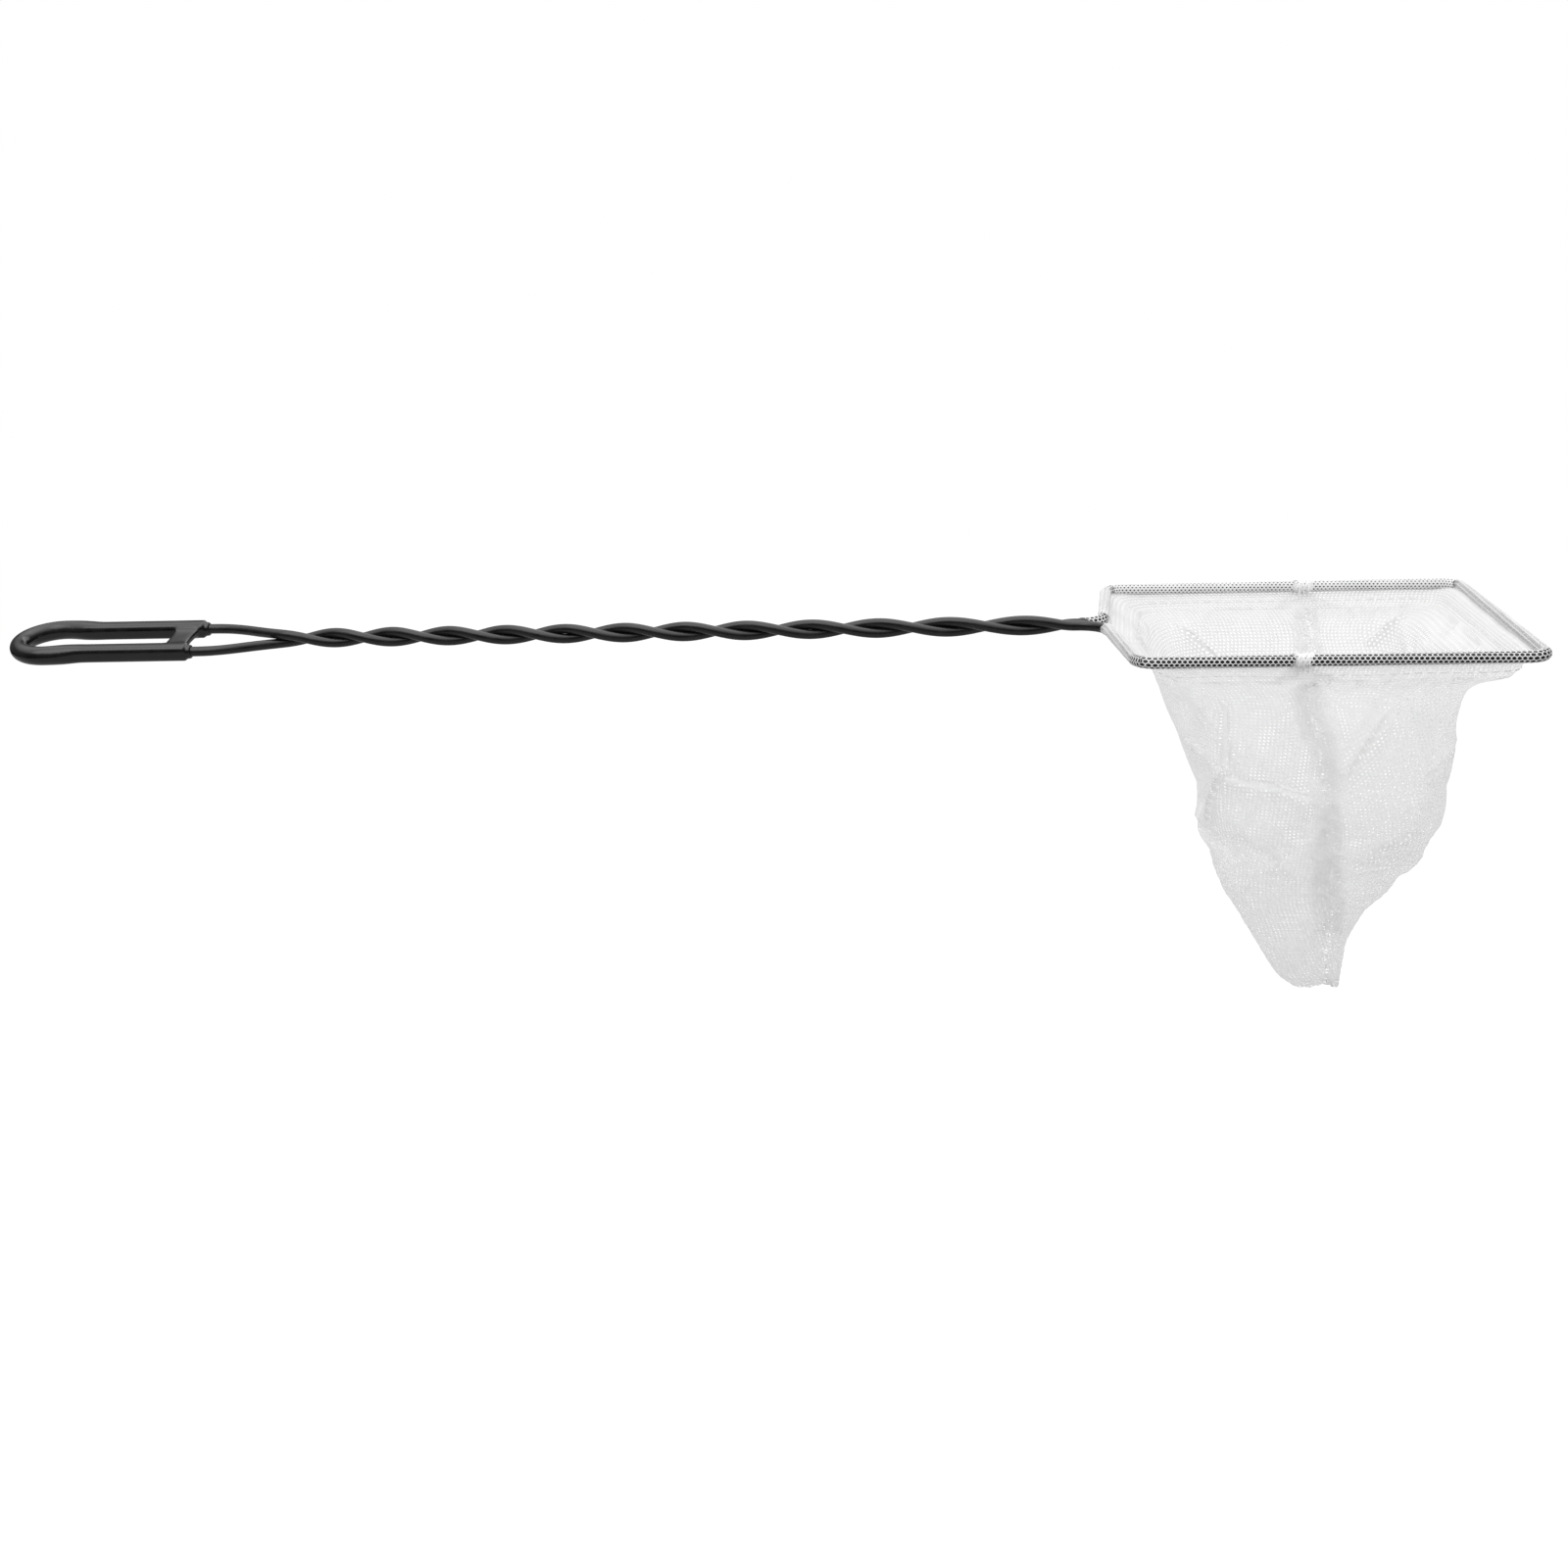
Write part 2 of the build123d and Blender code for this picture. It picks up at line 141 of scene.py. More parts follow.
def putMesh(name, points, faceSets, material, uv=None):
    # points in millimetres; each face set is an array with one row of point numbers per face
    mesh = bpy.data.meshes.new(name)
    faces = [face for faceSet in faceSets for face in np.asarray(faceSet).tolist()]
    mesh.from_pydata(np.asarray(points) * mm, [], faces, shade_flat=False)
    if uv is not None:
        layer = mesh.uv_layers.new(name="flat")
        layer.data.foreach_set("uv", uv[np.concatenate(faces)].astype(np.float32).ravel())
    if material is not None:
        mesh.materials.append(material)
    return linked(name, mesh)


def tubeRings(path, radius, sides, up=(0.0, 0.0, 1.0)):
    # ring point = path point + radius * (cos * sideways + sin * upward)
    _, sideways, upward = pathFrames(path, up)
    angle = np.linspace(0, 2 * np.pi, sides, endpoint=False)[:, None]
    radius = np.broadcast_to(radius, len(path))[:, None, None]
    return path[:, None] + radius * (np.cos(angle) * sideways[:, None] + np.sin(angle) * upward[:, None])


def closedTube(rings, crisp=False):
    # points and faces of a tube through rings, both ends closed; crisp ends have edge points of their own
    rows, sides = rings.shape[:2]
    ring = np.arange(sides)
    points, first, last = rings.reshape(-1, 3), ring, (rows - 1) * sides + ring
    if crisp:
        points = np.concatenate([points, rings[0], rings[-1]])
        first, last = rows * sides + ring, (rows + 1) * sides + ring
    return points, [gridFaces(rows, sides), np.stack([first[::-1], last])]


def joinShells(shells):
    # several point and face groups as one
    points, faceSets, count = [], [], 0
    for shellPoints, shellFaces in shells:
        points.append(shellPoints)
        faceSets += [np.asarray(faces) + count for faces in shellFaces]
        count += len(shellPoints)
    return np.concatenate(points), faceSets


def dress(piece, node, bends=False):
    # a piece takes a solid's place; it rides on the frame, or, for the bag from the hem down, keeps its place baked
    # into its points and is attached to nothing
    if bends:
        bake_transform(piece)
    else:
        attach(piece, "frame")
    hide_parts(node)
    return piece


# materials

def linear(hexColour):
    # sRGB hex to the linear colour that a shader socket takes
    share = np.array([int(hexColour[i:i + 2], 16) for i in (1, 3, 5)]) / 255
    value = np.where(share <= 0.04045, share / 12.92, ((share + 0.055) / 1.055) ** 2.4)
    return (*value.tolist(), 1.0)


def addNode(tree, kind, inputs=None, out=0, stops=(), **settings):
    # inputs takes numbers, colours or another node's output, and stops a colour ramp's places and hex colours;
    # gives back one of the new node's own outputs
    node = tree.nodes.new("ShaderNode" + kind)
    for key, value in settings.items():
        setattr(node, key, value)
    for key, value in (inputs or {}).items():
        if isinstance(value, bpy.types.NodeSocket):
            tree.links.new(value, node.inputs[key])
        else:
            node.inputs[key].default_value = value
    if stops:
        for element, (place, hexColour) in zip(node.color_ramp.elements, stops):
            element.position, element.color = place, linear(hexColour)
    return node.outputs[out] if len(node.outputs) else None


def blankMaterial(name, coords="Object"):
    material = bpy.data.materials.new(name)
    material.use_nodes = True
    tree = material.node_tree
    tree.nodes.clear()
    return material, tree, addNode(tree, "TexCoord", out=coords)


def perMm(size):
    # texture scale, in cycles per metre, for a feature this many millimetres across
    return 1 / (size * mm)


def softPvc():
    # dip-coated PVC: near black, satin, with faint lumps drawn out along the wire and dull handling marks
    look = dict(dark="#0c0c0d", pale="#19191a", gloss=0.20, dull=0.36, lump=1.6, grit=0.35)
    material, tree, place = blankMaterial("soft_pvc_coating")
    drawn = addNode(tree, "Mapping", {"Vector": place, "Scale": (0.3, 1.0, 1.0)})
    lumps = addNode(tree, "TexNoise", {"Vector": drawn, "Scale": perMm(look["lump"]), "Detail": 3.0}, "Fac")
    grit = addNode(tree, "TexNoise", {"Vector": place, "Scale": perMm(look["grit"]), "Detail": 2.0}, "Fac")
    colour = addNode(tree, "ValToRGB", {"Fac": lumps}, stops=((0.35, look["dark"]), (0.75, look["pale"])))
    rough = addNode(tree, "MapRange", {"Value": lumps, "From Min": 0.3, "From Max": 0.7,
                                       "To Min": look["gloss"], "To Max": look["dull"]})
    grain = addNode(tree, "Bump", {"Height": grit, "Strength": 0.10, "Distance": 0.05 * mm})
    skin = addNode(tree, "Bump", {"Height": lumps, "Strength": 0.22, "Distance": 0.2 * mm, "Normal": grain})
    shader = addNode(tree, "BsdfPrincipled", {
        "Base Color": colour, "Roughness": rough, "IOR": 1.5, "Specular IOR Level": 0.42, "Normal": skin})
    addNode(tree, "OutputMaterial", {"Surface": shader})
    return material


def mouldedPlastic():
    # injection-moulded polypropylene: black, smooth, waxy gloss with a faint flow ripple and rubbed patches
    look = dict(dark="#0a0a0b", pale="#161617", gloss=0.12, dull=0.30, flow=5.0, peel=0.5)
    material, tree, place = blankMaterial("moulded_polypropylene")
    flow = addNode(tree, "TexNoise", {"Vector": place, "Scale": perMm(look["flow"]), "Detail": 4.0}, "Fac")
    peel = addNode(tree, "TexNoise", {"Vector": place, "Scale": perMm(look["peel"]), "Detail": 1.0}, "Fac")
    colour = addNode(tree, "ValToRGB", {"Fac": flow}, stops=((0.35, look["dark"]), (0.8, look["pale"])))
    rough = addNode(tree, "MapRange", {"Value": flow, "From Min": 0.35, "From Max": 0.7,
                                       "To Min": look["gloss"], "To Max": look["dull"]})
    ripple = addNode(tree, "Bump", {"Height": flow, "Strength": 0.25, "Distance": 0.4 * mm})
    skin = addNode(tree, "Bump", {"Height": peel, "Strength": 0.06, "Distance": 0.06 * mm, "Normal": ripple})
    shader = addNode(tree, "BsdfPrincipled", {
        "Base Color": colour, "Roughness": rough, "IOR": 1.49, "Specular IOR Level": 0.5, "Normal": skin})
    addNode(tree, "OutputMaterial", {"Surface": shader})
    return material


def drawnSteel():
    # bright drawn steel wire: fine lines along the draw; it is all inside the coating
    look = dict(pale="#c9cacc", dark="#8d8f92", line=0.25)
    material, tree, place = blankMaterial("drawn_steel")
    along = addNode(tree, "Mapping", {"Vector": place, "Scale": (0.02, 1.0, 1.0)})
    lines = addNode(tree, "TexNoise", {"Vector": along, "Scale": perMm(look["line"]), "Detail": 2.0}, "Fac")
    colour = addNode(tree, "ValToRGB", {"Fac": lines}, stops=((0.3, look["dark"]), (0.7, look["pale"])))
    shader = addNode(tree, "BsdfPrincipled", {"Base Color": colour, "Metallic": 1.0, "Roughness": 0.3})
    addNode(tree, "OutputMaterial", {"Surface": shader})
    return material


def nylonNet(name, through, pale, grey):
    # knitted nylon: white, thin enough to glow a little, but hardly where it is drawn tight over the black wire
    look = dict(cloud=14.0, filament=0.12)
    material, tree, place = blankMaterial(name)
    cloud = addNode(tree, "TexNoise", {"Vector": place, "Scale": perMm(look["cloud"]), "Detail": 3.0}, "Fac")
    fine = addNode(tree, "TexNoise", {"Vector": place, "Scale": perMm(look["filament"]), "Detail": 1.0}, "Fac")
    colour = addNode(tree, "ValToRGB", {"Fac": cloud}, stops=((0.3, grey), (0.7, pale)))
    ridges = addNode(tree, "Bump", {"Height": fine, "Strength": 0.3, "Distance": 0.03 * mm})
    shader = addNode(tree, "BsdfPrincipled", {
        "Base Color": colour, "Roughness": 0.55, "IOR": 1.53, "Specular IOR Level": 0.3,
        "Sheen Weight": 0.15, "Sheen Roughness": 0.5, "Normal": ridges})
    glow = addNode(tree, "BsdfTranslucent", {"Color": colour})
    mixed = addNode(tree, "MixShader", {0: through, 1: shader, 2: glow})
    addNode(tree, "OutputMaterial", {"Surface": mixed})
    return material


def spunThread():
    # white polyester sewing thread: matt, with the slanted plies of its twist, drawn coarse enough to see; the grey
    # between the plies is painted shade in the grooves of the twist
    look = dict(pale="#fafafa", grey="#ececec", ply=0.5)
    material, tree, place = blankMaterial("spun_polyester_thread", "UV")
    pliesAndGrooveShade = addNode(tree, "TexWave", {"Vector": place, "Scale": 1 / look["ply"] / 2, "Distortion": 0.4}, "Fac",
                    wave_type="BANDS", bands_direction="DIAGONAL")
    # grey in the grooves between the plies, white on their tops: painted shade
    colour = addNode(tree, "ValToRGB", {"Fac": pliesAndGrooveShade}, stops=((0.1, look["grey"]), (0.7, look["pale"])))
    twist = addNode(tree, "Bump", {"Height": pliesAndGrooveShade, "Strength": 0.5, "Distance": 0.05 * mm})
    shader = addNode(tree, "BsdfPrincipled", {
        "Base Color": colour, "Roughness": 0.7, "Specular IOR Level": 0.25, "Sheen Weight": 0.2, "Normal": twist})
    addNode(tree, "OutputMaterial", {"Surface": shader})
    return material


pvc, plastic, steel, thread = softPvc(), mouldedPlastic(), drawnSteel(), spunThread()
nylon = nylonNet("knitted_nylon", 0.45, "#fbfbfb", "#f6f6f6")
# the hem tubes use the same white nylon in a greyer colour: painted shade for the black wire seen through the net
hemNylonPaintedShade = nylonNet("nylon_over_wire_painted_shade", 0.06, "#e8e8e8", "#dcdcdc")
print("materials made")


# coated wire: two twisted strands and the hoop

gripHigh = boxOf("grip")[1]
hoopLow, hoopHigh = boxOf("hoop_coating")
strandLow, strandHigh = boxOf("far_strand_coating")
wireRadius = (hoopHigh[2] - hoopLow[2]) / 2
hoopTip = hoopHigh[0] - wireRadius
halfWidth = hoopHigh[1] - wireRadius
gripRoll = np.radians(9.0)  # the grip is turned this far from the level of the hoop
armOffset = (strandHigh[1] - wireRadius) / np.cos(gripRoll)  # from the handle's axis to the middle of an arm
neckX = hoopLow[0]

wire = dict(
    strandGap=-0.05,  # the soft coats press into each other
    hoopLength=100.0,
    cornerRadius=5.0,
    neckSetback=4.6,  # how far the handle side is drawn back at the neck
    neckBend=8.0,
    lead=1.0,  # straight wire outside the grip
    leadIn=30.0,  # from there to the first full half turn
    runOut=5.0,
    halfLay=17.4,  # handle length for half a turn, at its mean
    layGrowth=1.33,  # the lay opens by this much towards the hoop
    halfTurns=13,
    coatSwell=0.012, coatWaves=(3.1, 7.7),  # the dip coat is a little uneven
    sides=28,
)
twistRadius = wireRadius + wire["strandGap"] / 2
hoopNear = hoopTip - wire["hoopLength"]
neckSlope = wire["neckSetback"] / halfWidth
neckCornerX = hoopNear - wire["neckSetback"] + neckSlope * twistRadius


def rollAbout(points, angle):
    # turned about the handle's axis
    c, s = np.cos(angle), np.sin(angle)
    x, y, z = np.moveaxis(points, -1, 0)
    return np.stack([x, c * y - s * z, s * y + c * z], axis=-1)


def strandPath(side):
    # helix about the handle's axis: y = side * spread * cos, z = side * radius * sin of pi times the half turns;
    # the spread closes from the arm to the twist over the first half turn, and the lay opens along the handle
    start = gripHigh[0] + wire["lead"]
    length = neckX - wire["runOut"] - start - wire["leadIn"]
    outTurns = wire["runOut"] / (2 * wire["halfLay"])
    middleTurns = wire["halfTurns"] - 1 - outTurns
    firstLay = length / middleTurns / (1 + (wire["layGrowth"] - 1) / 4)
    turns = np.concatenate([np.linspace(0, 1, 200) ** 2, np.linspace(1, 1 + middleTurns, 1500)[1:],
                            wire["halfTurns"] - outTurns * np.linspace(1, 0, 60)[1:] ** 2])
    share = np.clip(turns, 0, 1) ** (firstLay / wire["leadIn"])
    count = np.clip(turns - 1, 0, middleTurns)
    left = np.clip(wire["halfTurns"] - turns, 0, outTurns) / outTurns
    x = start + wire["leadIn"] * share + firstLay * count
    x += (length - firstLay * middleTurns) * (count / middleTurns) ** 4 + wire["runOut"] * (1 - np.sqrt(left))
    spread = twistRadius + (armOffset - twistRadius) * (1 + np.cos(np.pi * share)) / 2
    angle = np.pi * turns
    twisted = np.stack([x, side * spread * np.cos(angle), side * twistRadius * np.sin(angle)], axis=1)
    twisted = rollAbout(twisted, gripRoll * (1 + np.cos(np.pi * share)) / 2)
    socket = rollAbout(np.array([[strandLow[0], side * armOffset, 0.0]]), gripRoll)
    return evenPath(np.concatenate([socket, twisted]), 0.5)


def hoopCorners(side, barX):
    # half of the handle side: along the bar, round the corner, along the side and out at the neck
    return [(barX, side * halfWidth, 0), (hoopNear, side * halfWidth, 0),
            (neckCornerX, side * twistRadius, 0), (neckX, side * twistRadius, 0)]


hoopPath = filletPath(
    hoopCorners(-1, hoopTip)[::-1][:-1] + [(hoopTip, -halfWidth, 0), (hoopTip, halfWidth, 0)]
    + hoopCorners(1, hoopTip)[1:],
    [wire["neckBend"]] + [wire["cornerRadius"]] * 4 + [wire["neckBend"]])


def wirePiece(name, path, node):
    # a tube along the path, its radius lessened by the product of two slow waves
    along = lengthsAlong(path)
    first, second = (np.sin(along / wave) for wave in wire["coatWaves"])
    swell = 1 - wire["coatSwell"] * (1 + first * second)
    points, faceSets = closedTube(tubeRings(path, wireRadius * swell, wire["sides"]), crisp=True)
    dress(putMesh(name, points, faceSets, pvc), node)


for strandName, side in (("near", -1), ("far", 1)):
    wirePiece(f"{strandName}_strand", strandPath(side), f"{strandName}_strand_coating")
wirePiece("hoop_wire", hoopPath, "hoop_coating")
for coreName in ("near_strand_core", "far_strand_core", "hoop_core"):
    nodes[coreName].data.materials.clear()
    nodes[coreName].data.materials.append(steel)
print("wires made")


# grip: a round loop that flattens into two square arms, collars, and a web between the arms

grip = dict(
    loopRadius=9.5,  # middle of the loop's rod
    loopRod=2.6,  # half thickness of the round rod
    armWidth=2.4,  # half sizes of an arm
    armHeight=2.3,
    taper=11.0,  # where the loop has become an arm
    armEnd=40.3,
    edge=0.55,  # rounding of the arm's end
    collar=1.95,  # radius of the collar round the wire
    squareness=3.2,  # 2 is round, higher is squarer
    swell=0.25, swellAt=5.5, swellReach=3.5,  # the rod fattens where the loop opens
    webFrom=32.7, webTo=39.7, webHalf=1.0, webHollow=1.2, webSquareness=7.0,
    flare=0.9, flareReach=0.8,  # the web thickens where it runs into the arms
    voxel=0.22,
)


def superRing(width, height, power, sides=48):
    # superellipse: |y / width|^power + |z / height|^power = 1, sampled by angle
    angle = np.linspace(0, 2 * np.pi, sides, endpoint=False)
    c, s = np.cos(angle), np.sin(angle)
    reach = (np.abs(c) ** power[:, None] + np.abs(s) ** power[:, None]) ** (-1 / power[:, None])
    return width[:, None] * reach * c, height[:, None] * reach * s


def gripRod():
    # the rod's middle line: in along the far arm, round the loop, out along the near arm
    g = grip
    turn = np.linspace(np.pi / 2, 3 * np.pi / 2, 120)
    loop = np.stack([g["loopRadius"] * np.cos(turn), g["loopRadius"] * np.sin(turn), 0 * turn], axis=1)
    x = np.linspace(g["armEnd"], 0, 160)[:-1]
    y = g["loopRadius"] + (armOffset - g["loopRadius"]) * ease(0, g["taper"], x)
    arm = np.stack([x, y, 0 * x], axis=1)
    middle = evenPath(np.concatenate([arm, loop, arm[::-1] * (1, -1, 1)]), 0.35)
    square = ease(2.0, g["taper"] + 1.5, middle[:, 0])
    swell = np.exp(-((middle[:, 0] - g["swellAt"]) / g["swellReach"]) ** 2) * g["swell"]
    width = g["loopRod"] + (g["armWidth"] - g["loopRod"]) * square + swell
    height = g["loopRod"] + (g["armHeight"] - g["loopRod"]) * square + 0.3 * swell
    power = 2 + (g["squareness"] - 2) * square
    # rounded arm ends: the section draws in over a quarter circle of the edge's size
    fromEnd = np.clip(g["armEnd"] - middle[:, 0], 0, g["edge"])
    drawIn = g["edge"] - np.sqrt(g["edge"] ** 2 - (g["edge"] - fromEnd) ** 2)
    width, height = width - drawIn, height - drawIn
    ringY, ringZ = superRing(width, height, power)
    _, sideways, upward = pathFrames(middle)
    return middle[:, None] + ringY[..., None] * sideways[:, None] + ringZ[..., None] * upward[:, None]


def collarRings(side):
    # lathe: from inside the arm's end out over the collar's rounded rim
    x = np.array([-2.0, 0.0, 0.7, 0.95, 1.1, 1.2]) + grip["armEnd"]
    radius = np.array([1.0, 1.0, 1.0, 0.975, 0.93, 0.86]) * grip["collar"]
    path = np.stack([x, np.full_like(x, side * armOffset), 0 * x], axis=1)
    return tubeRings(path, radius, 40)


def webRings():
    # a slab carried across from arm to arm, its handle end straight and its wire end hollowed
    g = grip
    y = np.linspace(-armOffset, armOffset, 60)
    hollow = g["webHollow"] * (1 - (y / armOffset) ** 2)
    back, front = g["webFrom"], g["webTo"] - hollow
    flare = g["flare"] * np.exp(-((armOffset - np.abs(y)) - g["armWidth"]).clip(0) / g["flareReach"])
    middle = np.stack([(back + front) / 2, y, 0 * y], axis=1)
    ringX, ringZ = superRing((front - back) / 2 + 0.6 * flare, g["webHalf"] + flare,
                             np.full_like(y, g["webSquareness"]))
    return middle[:, None] + ringX[..., None] * (-1, 0, 0) + ringZ[..., None] * (0, 0, 1)


# the four shells are fused into one skin and softened, as a mould rounds its inner corners
shells = [gripRod(), collarRings(1), collarRings(-1), webRings()]
points, faceSets = joinShells([closedTube(rings) for rings in shells])
rough = putMesh("grip_shells", rollAbout(points, gripRoll), faceSets, None)
fused = rough.modifiers.new("fuse", "REMESH")
fused.mode, fused.voxel_size, fused.use_smooth_shade = "VOXEL", grip["voxel"] * mm, True
melted = rough.modifiers.new("soften", "SMOOTH")
melted.factor, melted.iterations = 0.5, 6
mesh = bpy.data.meshes.new_from_object(rough.evaluated_get(bpy.context.evaluated_depsgraph_get()))
bpy.data.objects.remove(rough)
mesh.name = "moulded_grip"
mesh.materials.clear()
mesh.materials.append(plastic)
dress(linked("moulded_grip", mesh), "grip")
print("grip made")


# the bag's surface, worked out as a grid of rows down and columns round

frontSeamX, backSeamX = (np.mean(boxOf(f"{name}_hem_tack"), axis=0)[0] for name in ("front", "back"))
bagDepth, lipDepth = (-boxOf(node)[0][2] for node in ("handle_side_panel", "tip_side_hem"))

bag = dict(
    # depth below the hoop, handle side and tip side from the hoop's near corners, half width, squareness
    rows=((0, 0, 100, 44, 22),
          (1.5, 2.2, 96.8, 43.6, 18),
          (5.8, 9.4, 93.6, 42, 15),
          (8.2, 12, 86.6, 40.7, 9),
          (10.5, 13.8, 84.6, 39.8, 8),
          (14, 15.8, 83.8, 38.6, 7.5),
          (22, 18.2, 83.8, 36.4, 7),
          (38, 21.8, 84.4, 32.4, 6),
          (49, 23.8, 83.4, 29.2, 5.5),
          (60, 25.6, 79.8, 25, 5),
          (73, 29.2, 71.6, 19, 4.5),
          (81, 33.6, 66.2, 15.4, 4),
          (92.5, 40, 62.8, 9.6, 3.6),
          (101, 45.2, 62.6, 4.8, 3.2),
          (bagDepth, 50.5, 62.8, 0.5, 3.0)),
    tailX=59.5,
    seamBow=4.2,  # the seams bow towards the tip half way down
    downRows=84, roundColumns=180,
    seamPull=1.1,  # the sewn seams draw the walls in
    seamReach=3.2,  # over this width
    pucker=0.45, puckerWaves=(3.4, 7.1),  # and not evenly
)


def bagGrid():
    # each row is a superellipse between its four sides, with the handle side drawn out to the neck;
    # columns are evenly spaced from the front seam round the handle side to the back seam, and on round the tip
    table = np.array(bag["rows"])
    depth = table[-1, 0] * np.linspace(0, 1, bag["downRows"])[:, None]
    left, right, across, power = (smoothCurve(table[:, 0], table[:, k], depth) for k in (1, 2, 3, 4))
    middle, reach = hoopNear + (left + right) / 2, (right - left) / 2
    lean = depth / table[-1, 0]
    seamTop, seamSkew = (frontSeamX + backSeamX) / 2, (backSeamX - frontSeamX) / 2 * across / halfWidth
    seamMiddle = seamTop + (hoopNear + bag["tailX"] - seamTop) * lean + bag["seamBow"] * np.sin(np.pi * lean)
    frontPlace = (1 - np.clip((seamMiddle - seamSkew - middle) / reach, -0.9, 0.9)) / 2
    backPlace = 2 + (1 + np.clip((seamMiddle + seamSkew - middle) / reach, -0.9, 0.9)) / 2

    def halfRows(start, end):
        # places on the unit square's outline, counted front, handle side, back, tip side
        place = (start + (end - start) * np.linspace(0, 1, 900)) % 4
        squareX = np.interp(place, [0, 1, 2, 3, 4], [1, -1, -1, 1, 1])
        squareY = np.interp(place, [0, 1, 2, 3, 4], [-1, -1, 1, 1, -1])
        norm = (np.abs(squareX) ** power + np.abs(squareY) ** power) ** (-1 / power)
        roundX, roundY = squareX * norm, squareY * norm
        neck = wire["neckSetback"] * (1 - lean) ** 2 * (1 - np.abs(roundY)) * np.clip(-roundX, 0, 1) ** 6
        x, y = middle + reach * roundX - neck, across * roundY
        steps = np.hypot(np.diff(x, axis=1), np.diff(y, axis=1))
        along = np.concatenate([np.zeros((len(x), 1)), np.cumsum(steps, axis=1)], axis=1)
        even = np.linspace(0, 1, bag["roundColumns"] // 2, endpoint=False)
        return [np.stack([np.interp(even * run[-1], run, line) for run, line in zip(along, field)])
                for field in (x, y)]

    halves = halfRows(frontPlace, backPlace), halfRows(backPlace, frontPlace + 4)
    x, y = (np.concatenate(pair, axis=1) for pair in zip(*halves))
    return np.stack([x, y, np.broadcast_to(-depth, x.shape)], axis=-1)


def gridNormals(grid):
    # outward: round direction crossed with down direction
    around = np.roll(grid, -1, axis=1) - np.roll(grid, 1, axis=1)
    down = np.gradient(grid, axis=0)
    return unit(np.cross(around, down))


def flatSizes(grid):
    # what the cloth measures when flat: running length down the rows, and the length of each half row
    down = np.linalg.norm(np.diff(grid, axis=0), axis=2).mean(axis=1)
    around = np.linalg.norm(np.roll(grid, -1, axis=1) - grid, axis=2)
    half = grid.shape[1] // 2
    return np.concatenate([[0], np.cumsum(down)]), around[:, :half].sum(axis=1), around[:, half:].sum(axis=1)


def sampleGrid(grid, row, column):
    # cubic weights over four rows and four columns; the columns close into a ring
    rows, columns = grid.shape[:2]
    firstRow = np.clip(np.floor(row).astype(int), 0, rows - 2)
    firstColumn = np.floor(column).astype(int)

    def weights(f):
        return (-0.5 * f + f * f - 0.5 * f ** 3, 1 - 2.5 * f * f + 1.5 * f ** 3,
                0.5 * f + 2 * f * f - 1.5 * f ** 3, -0.5 * f * f + 0.5 * f ** 3)

    value = 0
    for rowStep, rowWeight in enumerate(weights(row - firstRow), -1):
        for columnStep, columnWeight in enumerate(weights(column - firstColumn), -1):
            near = grid[np.clip(firstRow + rowStep, 0, rows - 1), (firstColumn + columnStep) % columns]
            value = value + (rowWeight * columnWeight)[:, None] * near
    return value


cloth = dict(
    scale=10.0,  # simulated ten times larger, where the solver is steadier
    frames=26,
    slack=0.02,  # the net is this much larger than the smooth form, so it buckles into folds
    hold=0.012,  # how firmly it is drawn to the smooth form
    seamHold=0.2, seamReach=0.012,  # held more firmly along the seams, over this share of the way round
    tailHold=0.8, tailFrom=40, tailTo=98,  # and towards the tail
    levels=50,  # steps of the hold's weight
    most=5.0,  # no point leaves the smooth form by more
    wobble=0.35,  # height of the waves that start it buckling
    gravity=0.3,
    solver=dict(quality=6, mass=0.05, tension_stiffness=12, compression_stiffness=12, shear_stiffness=4,
                bending_stiffness=0.25, tension_damping=8, compression_damping=8, vertex_group_mass="hold"),
)
# fold lines left from packing: column share from the front seam and depth, at both ends; height and half width
creases = (
    (0.072, 10, 0.100, 32, 1.0, 2.4),
    (0.100, 32, 0.178, 55, 1.2, 2.4),
    (0.106, 33, 0.050, 35, -0.9, 2.2),
    (0.058, 34, 0.003, 40, -0.9, 2.2),
    (0.980, 34, 0.928, 13, 1.2, 2.2),
    (0.200, 28, 0.100, 31, -1.2, 2.4),
    (0.085, 53, 0.048, 66, 0.7, 2.2),
    (0.836, 24, 0.892, 33, 0.8, 2.4),
    (0.958, 58, 0.886, 49, -0.7, 2.4),
    (0.372, 9, 0.410, 24, 1.0, 3.0),
    (0.556, 16, 0.596, 7, 1.0, 3.0),
    (0.620, 16, 0.540, 40, 1.0, 3.0),
    (0.300, 20, 0.400, 48, -1.0, 3.0),
    (0.760, 18, 0.720, 62, 1.2, 3.2),
)
# the net is drawn together along each fold line, this far to each side, and sinks into a narrow pleat there
pleat = dict(gather=0.75, reach=1.7, depth=3.0, width=0.6)


def depthRows(depth):
    # row number, with fractions, at a depth below the hoop
    return depth / bagDepth * (bag["downRows"] - 1)


def depthAndShare(grid):
    # of every grid point: its depth, and its place round the bag from the front seam, 0 to 1
    return -grid[..., 2], np.broadcast_to(np.arange(grid.shape[1]) / grid.shape[1], grid.shape[:2])


def nearFold(fold, share, depth, roundLength):
    # the nearest place on a fold line, as a share of its length, and the way there round the bag and down
    startShare, startDepth, endShare, endDepth = fold[:4]
    lineX, lineY = (endShare - startShare) * roundLength, endDepth - startDepth
    offX, offY = ((share - startShare + 0.5) % 1 - 0.5) * roundLength, depth - startDepth
    along = np.clip((offX * lineX + offY * lineY) / (lineX ** 2 + lineY ** 2), 0, 1)
    return along, offX - along * lineX, offY - along * lineY


